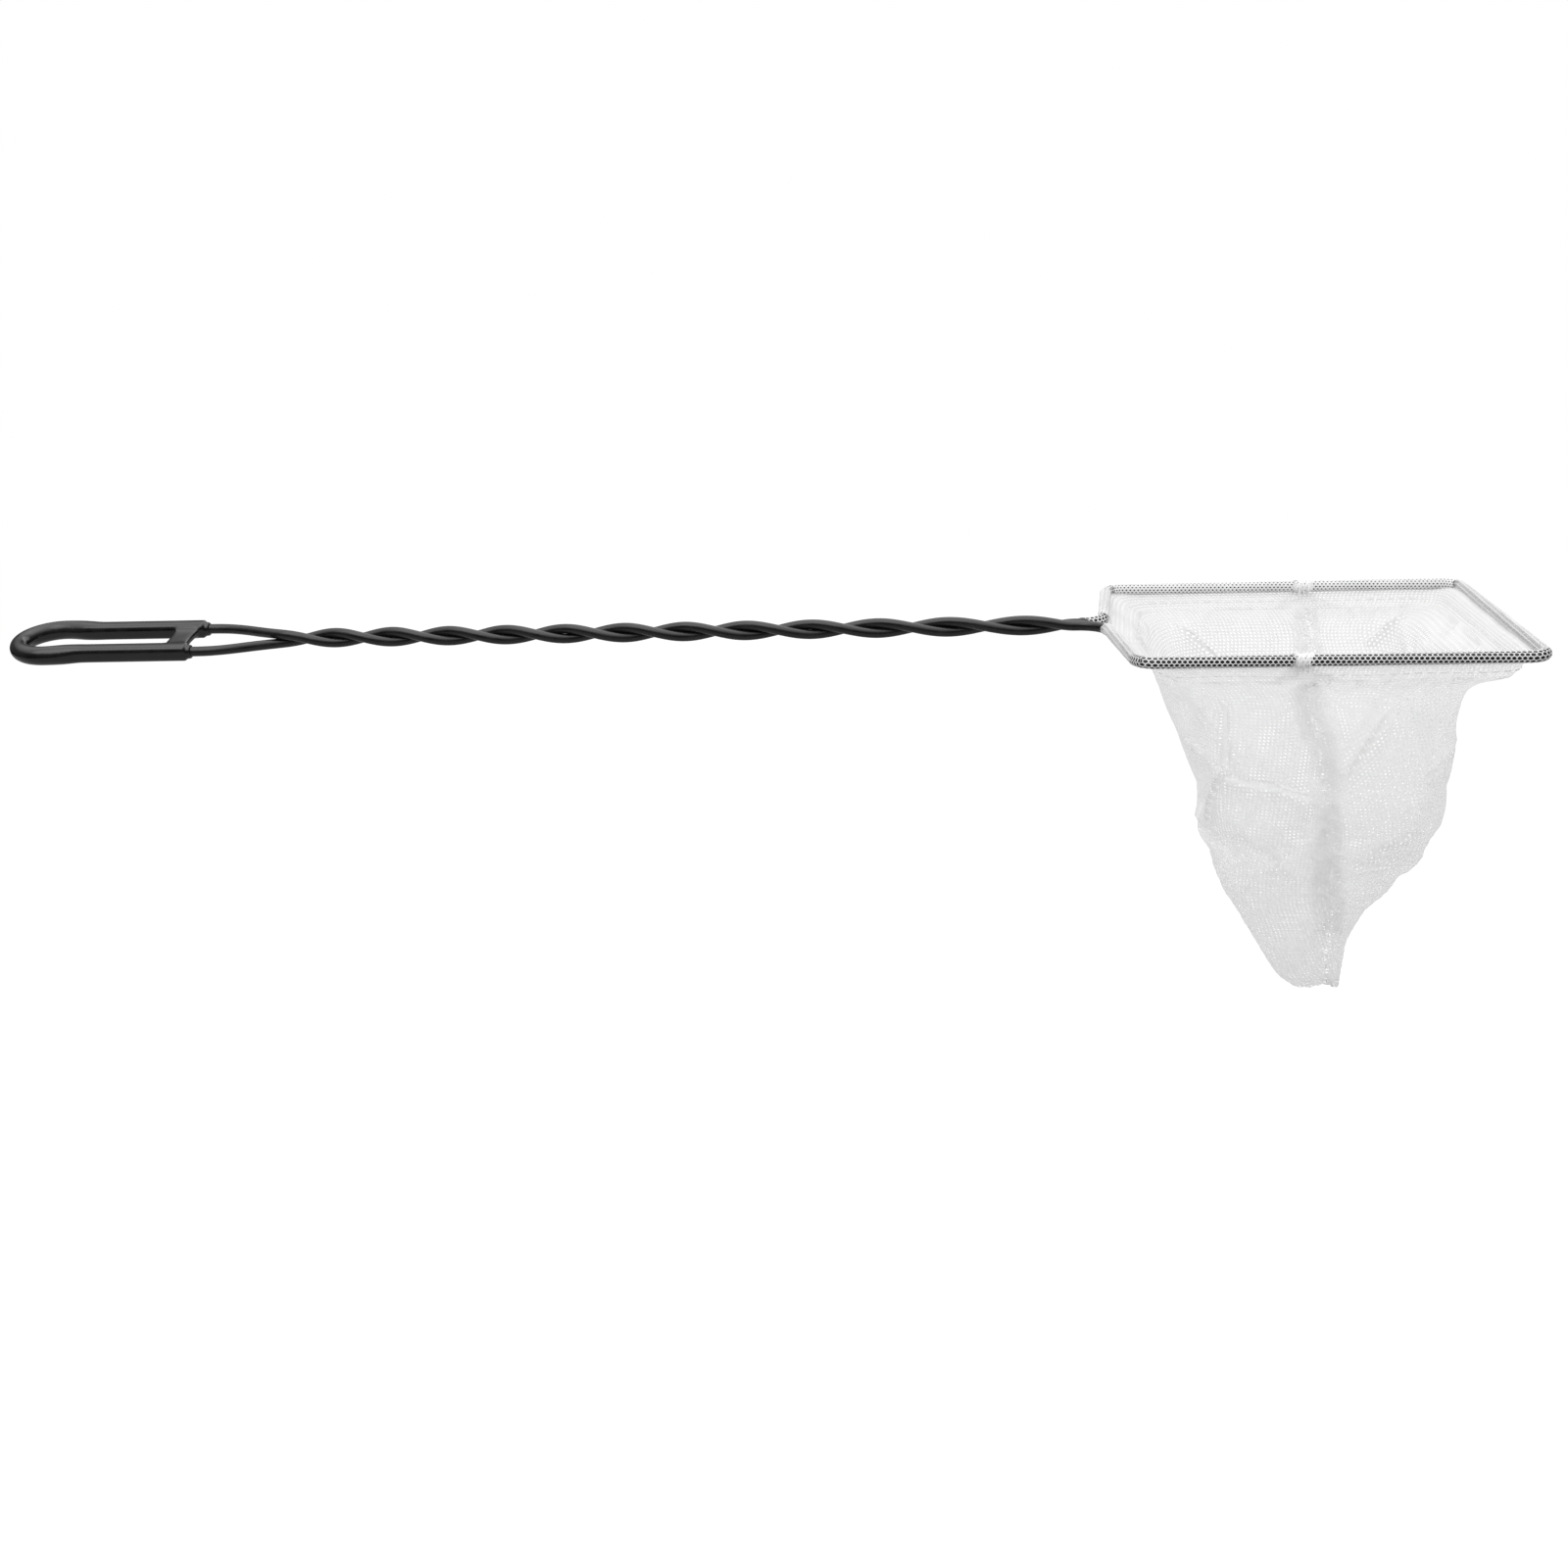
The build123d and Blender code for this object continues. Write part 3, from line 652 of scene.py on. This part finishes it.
def handFolds(grid):
    # seams drawn in along both seam lines, and each crease a ridge that fades away from its line
    depth, share = depthAndShare(grid)
    roundLength = np.linalg.norm(np.roll(grid, -1, axis=1) - grid, axis=2).sum(axis=1, keepdims=True)
    lift = np.zeros_like(depth)
    for seamShare in (0.0, 0.5):
        away = ((share - seamShare + 0.5) % 1 - 0.5) * roundLength
        first, second = (depth / wave for wave in bag["puckerWaves"])
        pucker = 1 + bag["pucker"] * np.sin(first + 5 * seamShare) * np.sin(second)
        lift -= bag["seamPull"] * pucker * np.exp(-(away / bag["seamReach"]) ** 2)
    for fold in creases:
        along, gapX, gapY = nearFold(fold, share, depth, roundLength)
        lift += fold[4] * np.exp(-np.hypot(gapX, gapY) / fold[5]) * (0.35 + 0.65 * np.sin(np.pi * along))
    below = ease(lipDepth, lipDepth + 10, depth)
    return grid + (lift * below)[..., None] * gridNormals(grid)


def settleCloth(grid):
    # the net is let buckle and sag under its own slack, held at the hem and lightly along the seams
    depth, share = depthAndShare(grid)
    wobble = cloth["wobble"] * np.sin(depth / 4.1 + 31 * share) * np.sin(2 * np.pi * 9 * share + depth / 6.3)
    start = grid + wobble[..., None] * gridNormals(grid)
    piece = putMesh("net_try", start.reshape(-1, 3) * cloth["scale"], [gridFaces(*grid.shape[:2])], None)
    seamGap = np.minimum(np.abs((share + 0.5) % 1 - 0.5), np.abs(share - 0.5))
    hold = cloth["hold"] + cloth["seamHold"] * np.exp(-(seamGap / cloth["seamReach"]) ** 2)
    tail = ease(cloth["tailFrom"], cloth["tailTo"], depth) ** 2 * cloth["tailHold"]
    hold = np.where(depth <= lipDepth + 0.5, 1.0, np.maximum(hold, tail))
    group = piece.vertex_groups.new(name="hold")
    level = np.round(hold.ravel() * cloth["levels"]).astype(int)
    for step in np.unique(level):
        group.add(np.flatnonzero(level == step).tolist(), step / cloth["levels"], "REPLACE")
    solver = piece.modifiers.new("net", "CLOTH")
    for key, value in cloth["solver"].items():
        setattr(solver.settings, key, value)
    solver.settings.shrink_min = -cloth["slack"]
    solver.settings.effector_weights.gravity = cloth["gravity"]
    solver.collision_settings.use_collision = False
    solver.point_cache.frame_start, solver.point_cache.frame_end = 1, cloth["frames"]
    for number in range(1, cloth["frames"] + 1):
        scene.frame_set(number)
    settled = piece.evaluated_get(bpy.context.evaluated_depsgraph_get()).data
    points = np.zeros(len(settled.vertices) * 3, np.float32)
    settled.vertices.foreach_get("co", points)
    bpy.data.objects.remove(piece)
    scene.frame_set(1)
    moved = points.reshape(grid.shape) / mm / cloth["scale"] - grid
    far = np.linalg.norm(moved, axis=2, keepdims=True)
    return grid + moved * np.minimum(1, cloth["most"] / np.maximum(far, 1e-6))


bagBase = bagGrid()
bagDepths = -bagBase[:, 0, 2]
downLength, handleHalf, tipHalf = flatSizes(bagBase)
meanHalf = (handleHalf + tipHalf) / 2
halfColumns = bag["roundColumns"] / 2
bagShape = handFolds(settleCloth(bagBase))
bagNormal = gridNormals(bagShape)
print("bag surface settled, most moved", round(float(np.linalg.norm(bagShape - bagBase, axis=2).max()), 2), "mm")


# knitted net

# the honeycomb mesh, in millimetres; cover is the surface of the threads as a share of the cloth
net = dict(pitch=1.12, row=0.97, thread=0.65, relief=0.10, cover=0.82)


def honeycomb(aSpan, bSpan, keep, wrapRows=0, turn=0.0, shift=(0.0, 0.0), rib=1.0,
              pitch=net["pitch"], width=net["thread"]):
    # each hexagon cell is a ring of six quads between its shared corners and its hole, whose edge lies lower;
    # a rib below 1 thins the threads that run along a, so that the holes join into slits across it
    row = 2 * np.pi * hem["radius"] / wrapRows if wrapRows else net["row"]
    down = np.arange(wrapRows) if wrapRows else np.arange(int(bSpan[0] / row) - 2, int(bSpan[1] / row) + 3)
    along = np.arange(int(aSpan[0] / pitch) - 2, int(aSpan[1] / pitch) + 3)
    j, i = (index.ravel() for index in np.meshgrid(down, along, indexing="ij"))
    keyA, keyB = 2 * i + j % 2, 3 * j
    around = np.array([(1, 1), (0, 2), (-1, 1), (-1, -1), (0, -2), (1, -1)])
    c, s = np.cos(turn), np.sin(turn)

    def place(a, b):
        return c * a - s * b + shift[0], s * a + c * b + shift[1]

    kept = keep(*place(keyA * pitch / 2, keyB * row / 3))
    keyA, keyB = keyA[kept], keyB[kept]
    shrink = 1 - width / pitch  # of a hole within its cell
    cornerA, cornerB = keyA[:, None] + around[:, 0], keyB[:, None] + around[:, 1]
    if wrapRows:
        cornerB = cornerB % (3 * wrapRows)
    wide = 100000  # more than any corner's number along a, to put both numbers in one
    codes, number = np.unique(cornerB * wide + cornerA + wide // 2, return_inverse=True)
    number = number.reshape(cornerA.shape)
    topA, topB = (codes % wide - wide // 2) * pitch / 2, codes // wide * row / 3
    holeA = (keyA[:, None] + shrink * around[:, 0]) * pitch / 2
    holeB = (keyB[:, None] + (1 - rib * (1 - shrink)) * around[:, 1]) * row / 3
    a, b = place(np.concatenate([topA, holeA.ravel()]), np.concatenate([topB, holeB.ravel()]))
    lift = np.concatenate([np.full(len(topA), 0.5), np.full(holeA.size, -0.5)]) * net["relief"]
    hole = len(topA) + np.arange(holeA.size).reshape(-1, 6)
    quads = np.stack([number, np.roll(number, -1, axis=1), np.roll(hole, -1, axis=1), hole], axis=-1)
    return a, b, lift, quads.reshape(-1, 4)


def drawnToFolds(share, depth):
    # column shares and depths, moved towards the fold lines near them, and how far the net sinks there
    sink = np.zeros_like(depth)
    roundLength = np.interp(depth, bagDepths, handleHalf + tipHalf)
    for fold in creases:
        along, gapX, gapY = nearFold(fold, share, depth, roundLength)
        gap2 = gapX ** 2 + gapY ** 2
        here = np.clip(2.4 * np.sin(np.pi * along), 0, 1) * ease(lipDepth, lipDepth + 6, depth)
        pull = pleat["gather"] * here * np.exp(-gap2 / pleat["reach"] ** 2)
        share, depth = share - pull * gapX / roundLength, depth - pull * gapY
        sink = sink + pleat["depth"] * here * np.exp(-gap2 * (1 - pull) ** 2 / pleat["width"] ** 2)
    return share, depth, sink


def onBag(a, b, lift, quads, centreColumn, halfLengths):
    # flat millimetres to the settled surface: b down the rows, a across from the middle of a panel
    share = centreColumn / bag["roundColumns"] + a / np.interp(b, downLength, halfLengths) / 2
    share, depth, sink = drawnToFolds(share, np.interp(b, downLength, bagDepths))
    row, column = depthRows(depth), share * bag["roundColumns"]
    points = sampleGrid(bagShape, row, column) + (lift - sink)[:, None] * unit(sampleGrid(bagNormal, row, column))
    return points, [quads], np.stack([a, b], axis=1) * mm


def onTube(a, b, lift, quads, path, radius):
    # a along the path, b round it, against the ring's angle so that faces point outwards; the rows spiral a little
    along = lengthsAlong(path)
    side, up = (unit(rowsAt(a, along, field)) for field in pathFrames(path)[1:])
    angle = (hem["spiral"] * a - b / hem["radius"])[:, None]
    points = rowsAt(a, along, path) + (radius + lift)[:, None] * (np.cos(angle) * side + np.sin(angle) * up)
    return points, [quads], np.stack([a, b], axis=1) * mm


def joinNets(parts):
    # several nets and their flat coordinates as one
    points, faceSets = joinShells([part[:2] for part in parts])
    return points, faceSets, np.concatenate([part[2] for part in parts])


# hem: the net's edge folded round the wire, with a lip below

hem = dict(
    radius=1.52, spiral=0.012, tackGap=1.4, frontCover=3.2, backCover=11.5, endGap=0.6,
    lipTop=0.5, lipEdge=0.35, lipThread=0.62, lipLift=0.16, lipGap=1.2, cover=0.75,
    # the net round the wire: rows of holes, pitch along it, thread as a share of the pitch, rib; bunched up on the
    # sides, and on the front bar a fifth coarser than the real 1.1 mm, so that its holes over the black still show
    front=(10, 1.30, 0.25, 1), side=(8, 0.70, 0.40, 0.3), back=(12, 1.12, 0.56, 1), tongue=(10, 1.30, 0.32, 1),
)
# a wad of net: height and shift of each layer, thread, lumps, and how far its ends stay in and wander
lump = dict(layers=((0.02, 0.0), (0.12, 0.37), (0.2, 0.81)), thread=0.42, height=0.16, inset=0.9, ragged=0.7)
lipRow, lipTop = np.interp((lipDepth, hem["lipTop"]), bagDepths, downLength)  # flat lengths from the hoop


def hemTube(path, start, end, weave, ragged=0.0):
    # a stretch of the hem, from start to end along the path; ragged says how unevenly it ends
    rows, pitch, share, rib = hem[weave]

    def keep(a, b):
        return (a > start) & (a < end - ragged * (1 + np.sin(b / hem["radius"] + 0.6)))

    cells = honeycomb((start, end), (0, 1), keep, wrapRows=rows, pitch=pitch, width=share * pitch, rib=rib)
    return onTube(*cells, path, hem["radius"])


def netLump(path, start, end, seed):
    # a lumpy wad of net round a bar, three layers deep and ragged at both ends
    rows, inset, ragged = hem["front"][0], lump["inset"], lump["ragged"]

    def keep(a, b):
        return ((a > start + inset + ragged * np.sin(1.3 * b + seed))
                & (a < end - inset + ragged * np.sin(0.9 * b + 2 * seed)))

    layers = []
    for radiusStep, shift in lump["layers"]:
        a, b, lift, quads = honeycomb((start, end), (0, 1), keep, rows, shift=(shift, shift), width=lump["thread"])
        lumps = lump["height"] * np.sin(2.1 * a + shift * 9) * np.sin(3 * b / hem["radius"] + a)
        layers.append(onTube(a, b, lift + lumps, quads, path, hem["radius"] + radiusStep))
    return layers


def hemLip(centreColumn, halfLengths):
    # a strip of net from just under the hoop down to a scalloped edge, standing off the bag a little
    reach = halfLengths[0] / 2

    def keep(a, b):
        scallop = hem["lipEdge"] * np.sin(a / 2.9) * np.sin(a / 7.3)
        return (np.abs(a) < reach - hem["lipGap"]) & (b > lipTop) & (b < lipRow + scallop)

    a, b, lift, quads = honeycomb((-reach, reach), (0, lipRow + 1), keep, width=hem["lipThread"])
    return onBag(a, b, lift + hem["lipLift"], quads, centreColumn, halfLengths)


def hemPiece(name, tubes, centreColumn, halfLengths, node):
    # the tubes and the lip as one piece: the tubes in the greyer nylon, painted shade for the black wire seen through
    # it, and the lip in the bag's nylon
    points, faceSets, uv = joinNets(tubes + [hemLip(centreColumn, halfLengths)])
    piece = putMesh(name, points, faceSets, hemNylonPaintedShade, uv)
    piece.data.materials.append(nylon)
    inLip = np.repeat([0] * len(tubes) + [1], [len(faces) for faces in faceSets])
    piece.data.polygons.foreach_set("material_index", inLip.astype(np.int32))
    dress(piece, node)


def handleHemTubes(side, seamX, weave):
    # from the tack round the corner to the neck; the back one ends in a wad of net and a tongue along the strand
    barX = seamX - hem["tackGap"]
    path = filletPath(hoopCorners(side, barX), [wire["cornerRadius"], wire["neckBend"]])
    corner = barX - hoopNear - 1
    neck = lengthsAlong(path)[-1] - wire["neckBend"] * np.arctan2(1, neckSlope)
    bar = hemTube(path, hem["endGap"], corner, weave)
    if side < 0:
        return [bar, hemTube(path, corner, neck + hem["frontCover"], "side", 0.5)]
    tongue = hemTube(path, neck + 1, neck + hem["backCover"], "tongue", 1.8)
    return [bar, hemTube(path, corner, neck + 1, "side"), tongue] + netLump(path, neck - 3.0, neck + 2.5, 3.0)


def tipHemTubes():
    # from the front tack round both corners to the back tack
    tipPath = filletPath([(frontSeamX + hem["tackGap"], -halfWidth, 0), (hoopTip, -halfWidth, 0),
                          (hoopTip, halfWidth, 0), (backSeamX + hem["tackGap"], halfWidth, 0)],
                         [wire["cornerRadius"]] * 2)
    length = lengthsAlong(tipPath)[-1]
    front, back = hoopTip - frontSeamX - hem["tackGap"] + 1, length - (hoopTip - backSeamX - hem["tackGap"])
    return [hemTube(tipPath, hem["endGap"], front, "front"), hemTube(tipPath, front, back, "side"),
            hemTube(tipPath, back, length - hem["endGap"], "back")]


handleTubes = handleHemTubes(-1, frontSeamX, "front") + handleHemTubes(1, backSeamX, "back")
hemPiece("handle_hem_net", handleTubes, halfColumns / 2, handleHalf, "handle_side_hem")
hemPiece("tip_hem_net", tipHemTubes(), 1.5 * halfColumns, tipHalf, "tip_side_hem")
print("hems made")


# the two panels of the bag

panel = dict(overlap=1.0, tailGap=0.5, seamGap=0.3)  # under the lip, and short of the tail and the seams


def panelPiece(name, centreColumn, halfLengths, node):
    # one half of the bag: net from under the lip to the tail, and across from seam to seam
    top, bottom, widest = lipRow - panel["overlap"], downLength[-1], halfLengths[0] / 2

    def keep(a, b):
        halfHere = np.interp(b, downLength, halfLengths) / 2
        return (b > top) & (b < bottom - panel["tailGap"]) & (np.abs(a) < halfHere - panel["seamGap"])

    cells = honeycomb((-widest, widest), (0, bottom), keep)
    points, faceSets, uv = onBag(*cells, centreColumn, halfLengths)
    piece = dress(putMesh(name, points, faceSets, nylon, uv), node, bends=True)


panelPiece("handle_panel_net", halfColumns / 2, handleHalf, "handle_side_panel")
panelPiece("tip_panel_net", 1.5 * halfColumns, tipHalf, "tip_side_panel")


# seams: the two turned-in edges inside the bag, and the thread that sews them

seam = dict(
    depths=(2, 14, 26, 36, 41, 50, 64, 84, 104),
    widths=(6.4, 7.0, 6.0, 3.0, 3.6, 6.4, 7.6, 8.4, 7.4),  # it twists on edge a third of the way down
    allowance=7.0, sway=1.3, top=5.5, bottom=85.0, cover=0.45, thread=0.30,
    layers=((-0.5, 0.35), (-0.85, -0.5)),  # height, and turn of the weave
    sewn=0.15, zigzag=1.1, step=2.6, inside=-1.1, shortBy=24,  # sewing thread: radius, path, where it ends
)
threadSides = 8


def threadUv(along):
    # one row for each ring of a thread: millimetres along it and turns round it
    return np.stack(np.meshgrid(along, np.linspace(0, 1, threadSides), indexing="ij"), axis=-1).reshape(-1, 2)


def seamLine(b, phase):
    # how far the strip wanders to either side of the seam, in millimetres
    return seam["sway"] * np.sin(b / 9.5 + phase) * ease(8, 24, b)


def seamPiece(name, column, phase, node):
    # two layers of net inside the seam, turned against each other, as wide at each depth as the table says
    parts = []
    for layerLift, turn in seam["layers"]:
        def keep(a, b):
            depth = np.interp(b, downLength, bagDepths)
            width = smoothCurve(seam["depths"], seam["widths"], np.clip(depth, 2, 104))
            ragged = 0.4 * np.sin(b / 1.9 + turn) + 0.3 * np.sin(b / 0.83)
            inside = np.abs(a - seamLine(b, phase) - turn) < width / 2 + ragged
            return inside & (depth > seam["top"]) & (depth < seam["bottom"])

        # laid out well past the strip on all sides, because the weave is turned
        a, b, lift, quads = honeycomb((-60, 60), (-40, downLength[-1] + 40), keep, turn=turn, width=seam["thread"])
        parts.append(onBag(a, b, 0.8 * lift + layerLift, quads, column, meanHalf))
    points, faceSets, uv = joinNets(parts)
    piece = dress(putMesh(name, points, faceSets, nylon, uv), node, bends=True)


def seamThread(name, column, phase, outward, node):
    # a zigzag of thread through the turned-in edges
    b = np.arange(lipRow, downLength[-1] - seam["shortBy"], 0.3)
    zig = np.abs((b / seam["step"]) % 2 - 1) * 2 - 1
    a = seamLine(b, phase) + seam["zigzag"] * np.sin(zig * np.pi / 2)
    path, _, _ = onBag(a, b, np.full_like(b, seam["inside"]), None, column, meanHalf)
    points, faceSets = closedTube(tubeRings(path, seam["sewn"], threadSides, up=outward))
    dress(putMesh(name, points, faceSets, thread, threadUv(lengthsAlong(path))), node, bends=True)


for seamName, column, phase, outwardY in (("front", 0.0, 0.4, -1.0), ("back", halfColumns, 2.2, 1.0)):
    seamPiece(f"{seamName}_seam_net", column, phase, f"{seamName}_seam_allowance")
    seamThread(f"{seamName}_seam_thread", column, phase, (0.0, outwardY, 0.0), f"{seamName}_seam_stitching")
print("panels and seams made")


# hem stitching: short stitches along the outside of each lip

stitch = dict(depth=3.8, length=1.9, pitch=3.0, radius=0.17, arch=0.12, lift=0.34, margin=3.0)


def hemStitches(name, firstColumn, halfLengths, node):
    # every stitch is a short bowed capsule: its middle stands away from the cloth and its ends sink in
    total = np.interp(stitch["depth"], bagDepths, halfLengths)
    count = int((total - 2 * stitch["margin"]) / stitch["pitch"])
    middle = np.linspace(stitch["margin"], total - stitch["margin"], count)
    local = np.array([-1.0, -0.93, -0.6, 0.0, 0.6, 0.93, 1.0])
    radius = stitch["radius"] * np.array([0.25, 0.75, 1.0, 1.05, 1.0, 0.75, 0.25])
    place = middle[:, None] + local * stitch["length"] / 2
    row = np.full(place.size, depthRows(stitch["depth"]))
    column = firstColumn + place.ravel() / total * halfColumns
    seat, out = sampleGrid(bagShape, row, column), unit(sampleGrid(bagNormal, row, column))
    bow = np.tile(stitch["lift"] + stitch["arch"] * (1 - local ** 2), count)
    centre = (seat + bow[:, None] * out).reshape(count, len(local), 3)
    along = unit(centre[:, -1:] - centre[:, :1])
    outward = out.reshape(centre.shape)
    sideways = np.cross(outward, np.broadcast_to(along, outward.shape))
    angle = np.linspace(0, 2 * np.pi, threadSides, endpoint=False)[:, None]
    rings = centre[:, :, None] + radius[:, None, None] * (
        np.cos(angle) * sideways[:, :, None] + np.sin(angle) * outward[:, :, None])
    points, faceSets = joinShells([closedTube(ring) for ring in rings])
    dress(putMesh(name, points, faceSets, thread, threadUv(np.tile(local, count))), node)


hemStitches("handle_hem_thread", 0.0, handleHalf, "handle_side_hem_stitching")
hemStitches("tip_hem_thread", halfColumns, tipHalf, "tip_side_hem_stitching")


# tacks: thread wound over the hems where they meet, with a patch of doubled net under it

tack = dict(turns=5, length=3.2, radius=1.75, threadRadius=0.13, drop=2.2, patch=6.0, step=0.25)


def tackPiece(name, seamX, barY, node):
    # a helix round the bar, drawn down over the lip on its lower half, its radius a little uneven
    angle = np.linspace(0, 2 * np.pi * tack["turns"], tack["turns"] * 40)
    share = angle / angle[-1]
    uneven = 0.12 * np.sin(2.6 * angle / (2 * np.pi) * 2.3) + 0.08 * np.sin(angle * 0.37)
    radius = tack["radius"] + uneven * 0.6
    inward = -np.sign(barY)
    drop = tack["drop"] * (0.6 + 0.4 * np.sin(angle * 0.21)) * np.clip(-np.sin(angle), 0, 1) ** 1.5
    path = np.stack([seamX + tack["length"] * (share - 0.5) + 0.35 * np.sin(angle * 0.5),
                     barY + radius * np.cos(angle) + 0.45 * inward * drop,
                     radius * np.sin(angle) - drop], axis=1)
    wound = closedTube(tubeRings(evenPath(path, tack["step"]), tack["threadRadius"], threadSides, up=(1.0, 0.0, 0.0)))
    patchPath = evenPath(np.array([[seamX - tack["patch"] / 2, barY, 0], [seamX + tack["patch"] / 2, barY, 0]]), 0.4)
    points, faceSets = joinShells([wound] + [part[:2] for part in netLump(patchPath, 0, tack["patch"], seamX)])
    uv = np.zeros((len(points), 2))
    uv[:len(wound[0])] = threadUv(np.arange(len(wound[0]) // threadSides) * tack["step"])
    dress(putMesh(name, points, faceSets, thread, uv), node)


tackPiece("front_tack_thread", frontSeamX, -halfWidth, "front_hem_tack")
tackPiece("back_tack_thread", backSeamX, halfWidth, "back_hem_tack")
print("stitches and tacks made")


# floor, world, lamps and camera

stage = dict(floorZ=-0.165, floorSize=3.0, fadeFrom=0.45, fadeTo=1.1)


def floorMaterial():
    # matt white paper; near the object it is lit and shadowed, further out it goes to plain white for the camera
    material, tree, place = blankMaterial("white_paper")
    seen = addNode(tree, "LightPath", out="Is Camera Ray")
    away = addNode(tree, "VectorMath", {0: place, 1: (0.2, 0.0, stage["floorZ"])}, "Value", operation="DISTANCE")
    fade = addNode(tree, "MapRange", {"Value": away, "From Min": stage["fadeFrom"], "From Max": stage["fadeTo"]},
                   interpolation_type="SMOOTHSTEP")
    paper = addNode(tree, "BsdfDiffuse", {"Color": linear("#f2f2f2")})
    glow = addNode(tree, "Emission", {"Color": (1, 1, 1, 1), "Strength": seen})
    near = addNode(tree, "MixShader", {0: 0.55, 1: paper, 2: glow})
    faded = addNode(tree, "MixShader", {0: fade, 1: near, 2: glow})
    addNode(tree, "OutputMaterial", {"Surface": faded})
    return material


reach, floorZ = stage["floorSize"] / mm, stage["floorZ"] / mm
corners = np.array([(-1, -1, 0), (1, -1, 0), (1, 1, 0), (-1, 1, 0)]) * reach + (0, 0, floorZ)
floor = putMesh("floor", corners, [[(0, 1, 2, 3)]], floorMaterial())

# soft white light from all round, but gloss sees it as bright overhead and dim below
world = scene.world = bpy.data.worlds.new("white_studio")
world.use_nodes = True
tree = world.node_tree
tree.nodes.clear()
height = addNode(tree, "SeparateXYZ", {0: addNode(tree, "TexCoord", out="Generated")}, "Z")
roof = addNode(tree, "MapRange", {"Value": height, "From Min": 0.3, "From Max": 0.95, "To Min": 0.14, "To Max": 2.2},
               interpolation_type="SMOOTHSTEP")
strength = addNode(tree, "Mix", {0: addNode(tree, "LightPath", out="Is Glossy Ray"), 2: 1.0, 3: roof})
sky = addNode(tree, "Background", {"Color": (1, 1, 1, 1), "Strength": strength})
addNode(tree, "OutputWorld", {"Surface": sky})

lamps = (
    dict(name="key_softbox", place=(-0.15, -0.55, 0.95), aim=(0.25, 0, -0.02), size=0.9, power=4.0),
    dict(name="top_softbox", place=(0.35, 0.25, 1.1), aim=(0.25, 0, 0), size=1.0, power=2.5),
    dict(name="back_strip", place=(0.25, 0.9, 0.25), aim=(0.3, 0, -0.05), size=0.7, power=1.5),
)
for lamp in lamps:
    light = bpy.data.lights.new(lamp["name"], "AREA")
    light.shape, light.size, light.energy = "SQUARE", lamp["size"], lamp["power"]
    holder = linked(lamp["name"], light)
    toward = Vector(lamp["aim"]) - Vector(lamp["place"])
    holder.matrix_world = Matrix.Translation(lamp["place"]) @ toward.to_track_quat("-Z", "Y").to_matrix().to_4x4()

# the camera fitted to the photo: metres, degrees and millimetres
view = dict(place=(0.23945, -0.53191, 0.12204), pitch=17.286, yaw=-4.03, roll=-1.92, lens=46.08)
pitch, yaw, roll = (np.radians(view[key]) for key in ("pitch", "yaw", "roll"))
forward = np.array([np.sin(yaw) * np.cos(pitch), np.cos(yaw) * np.cos(pitch), -np.sin(pitch)])
level = np.array([np.cos(yaw), -np.sin(yaw), 0])
over = np.cross(level, forward)
right, up = np.cos(roll) * level + np.sin(roll) * over, -np.sin(roll) * level + np.cos(roll) * over
lens = bpy.data.cameras.new("camera")
lens.lens, lens.sensor_width, lens.clip_start = view["lens"], 36.0, 0.01
camera = scene.camera = linked("camera", lens)
turned = Matrix(np.stack([right, up, -forward], axis=1).tolist()).to_4x4()
camera.matrix_world = Matrix.Translation(view["place"]) @ turned
scene.view_settings.view_transform = "Standard"
print("stage made")
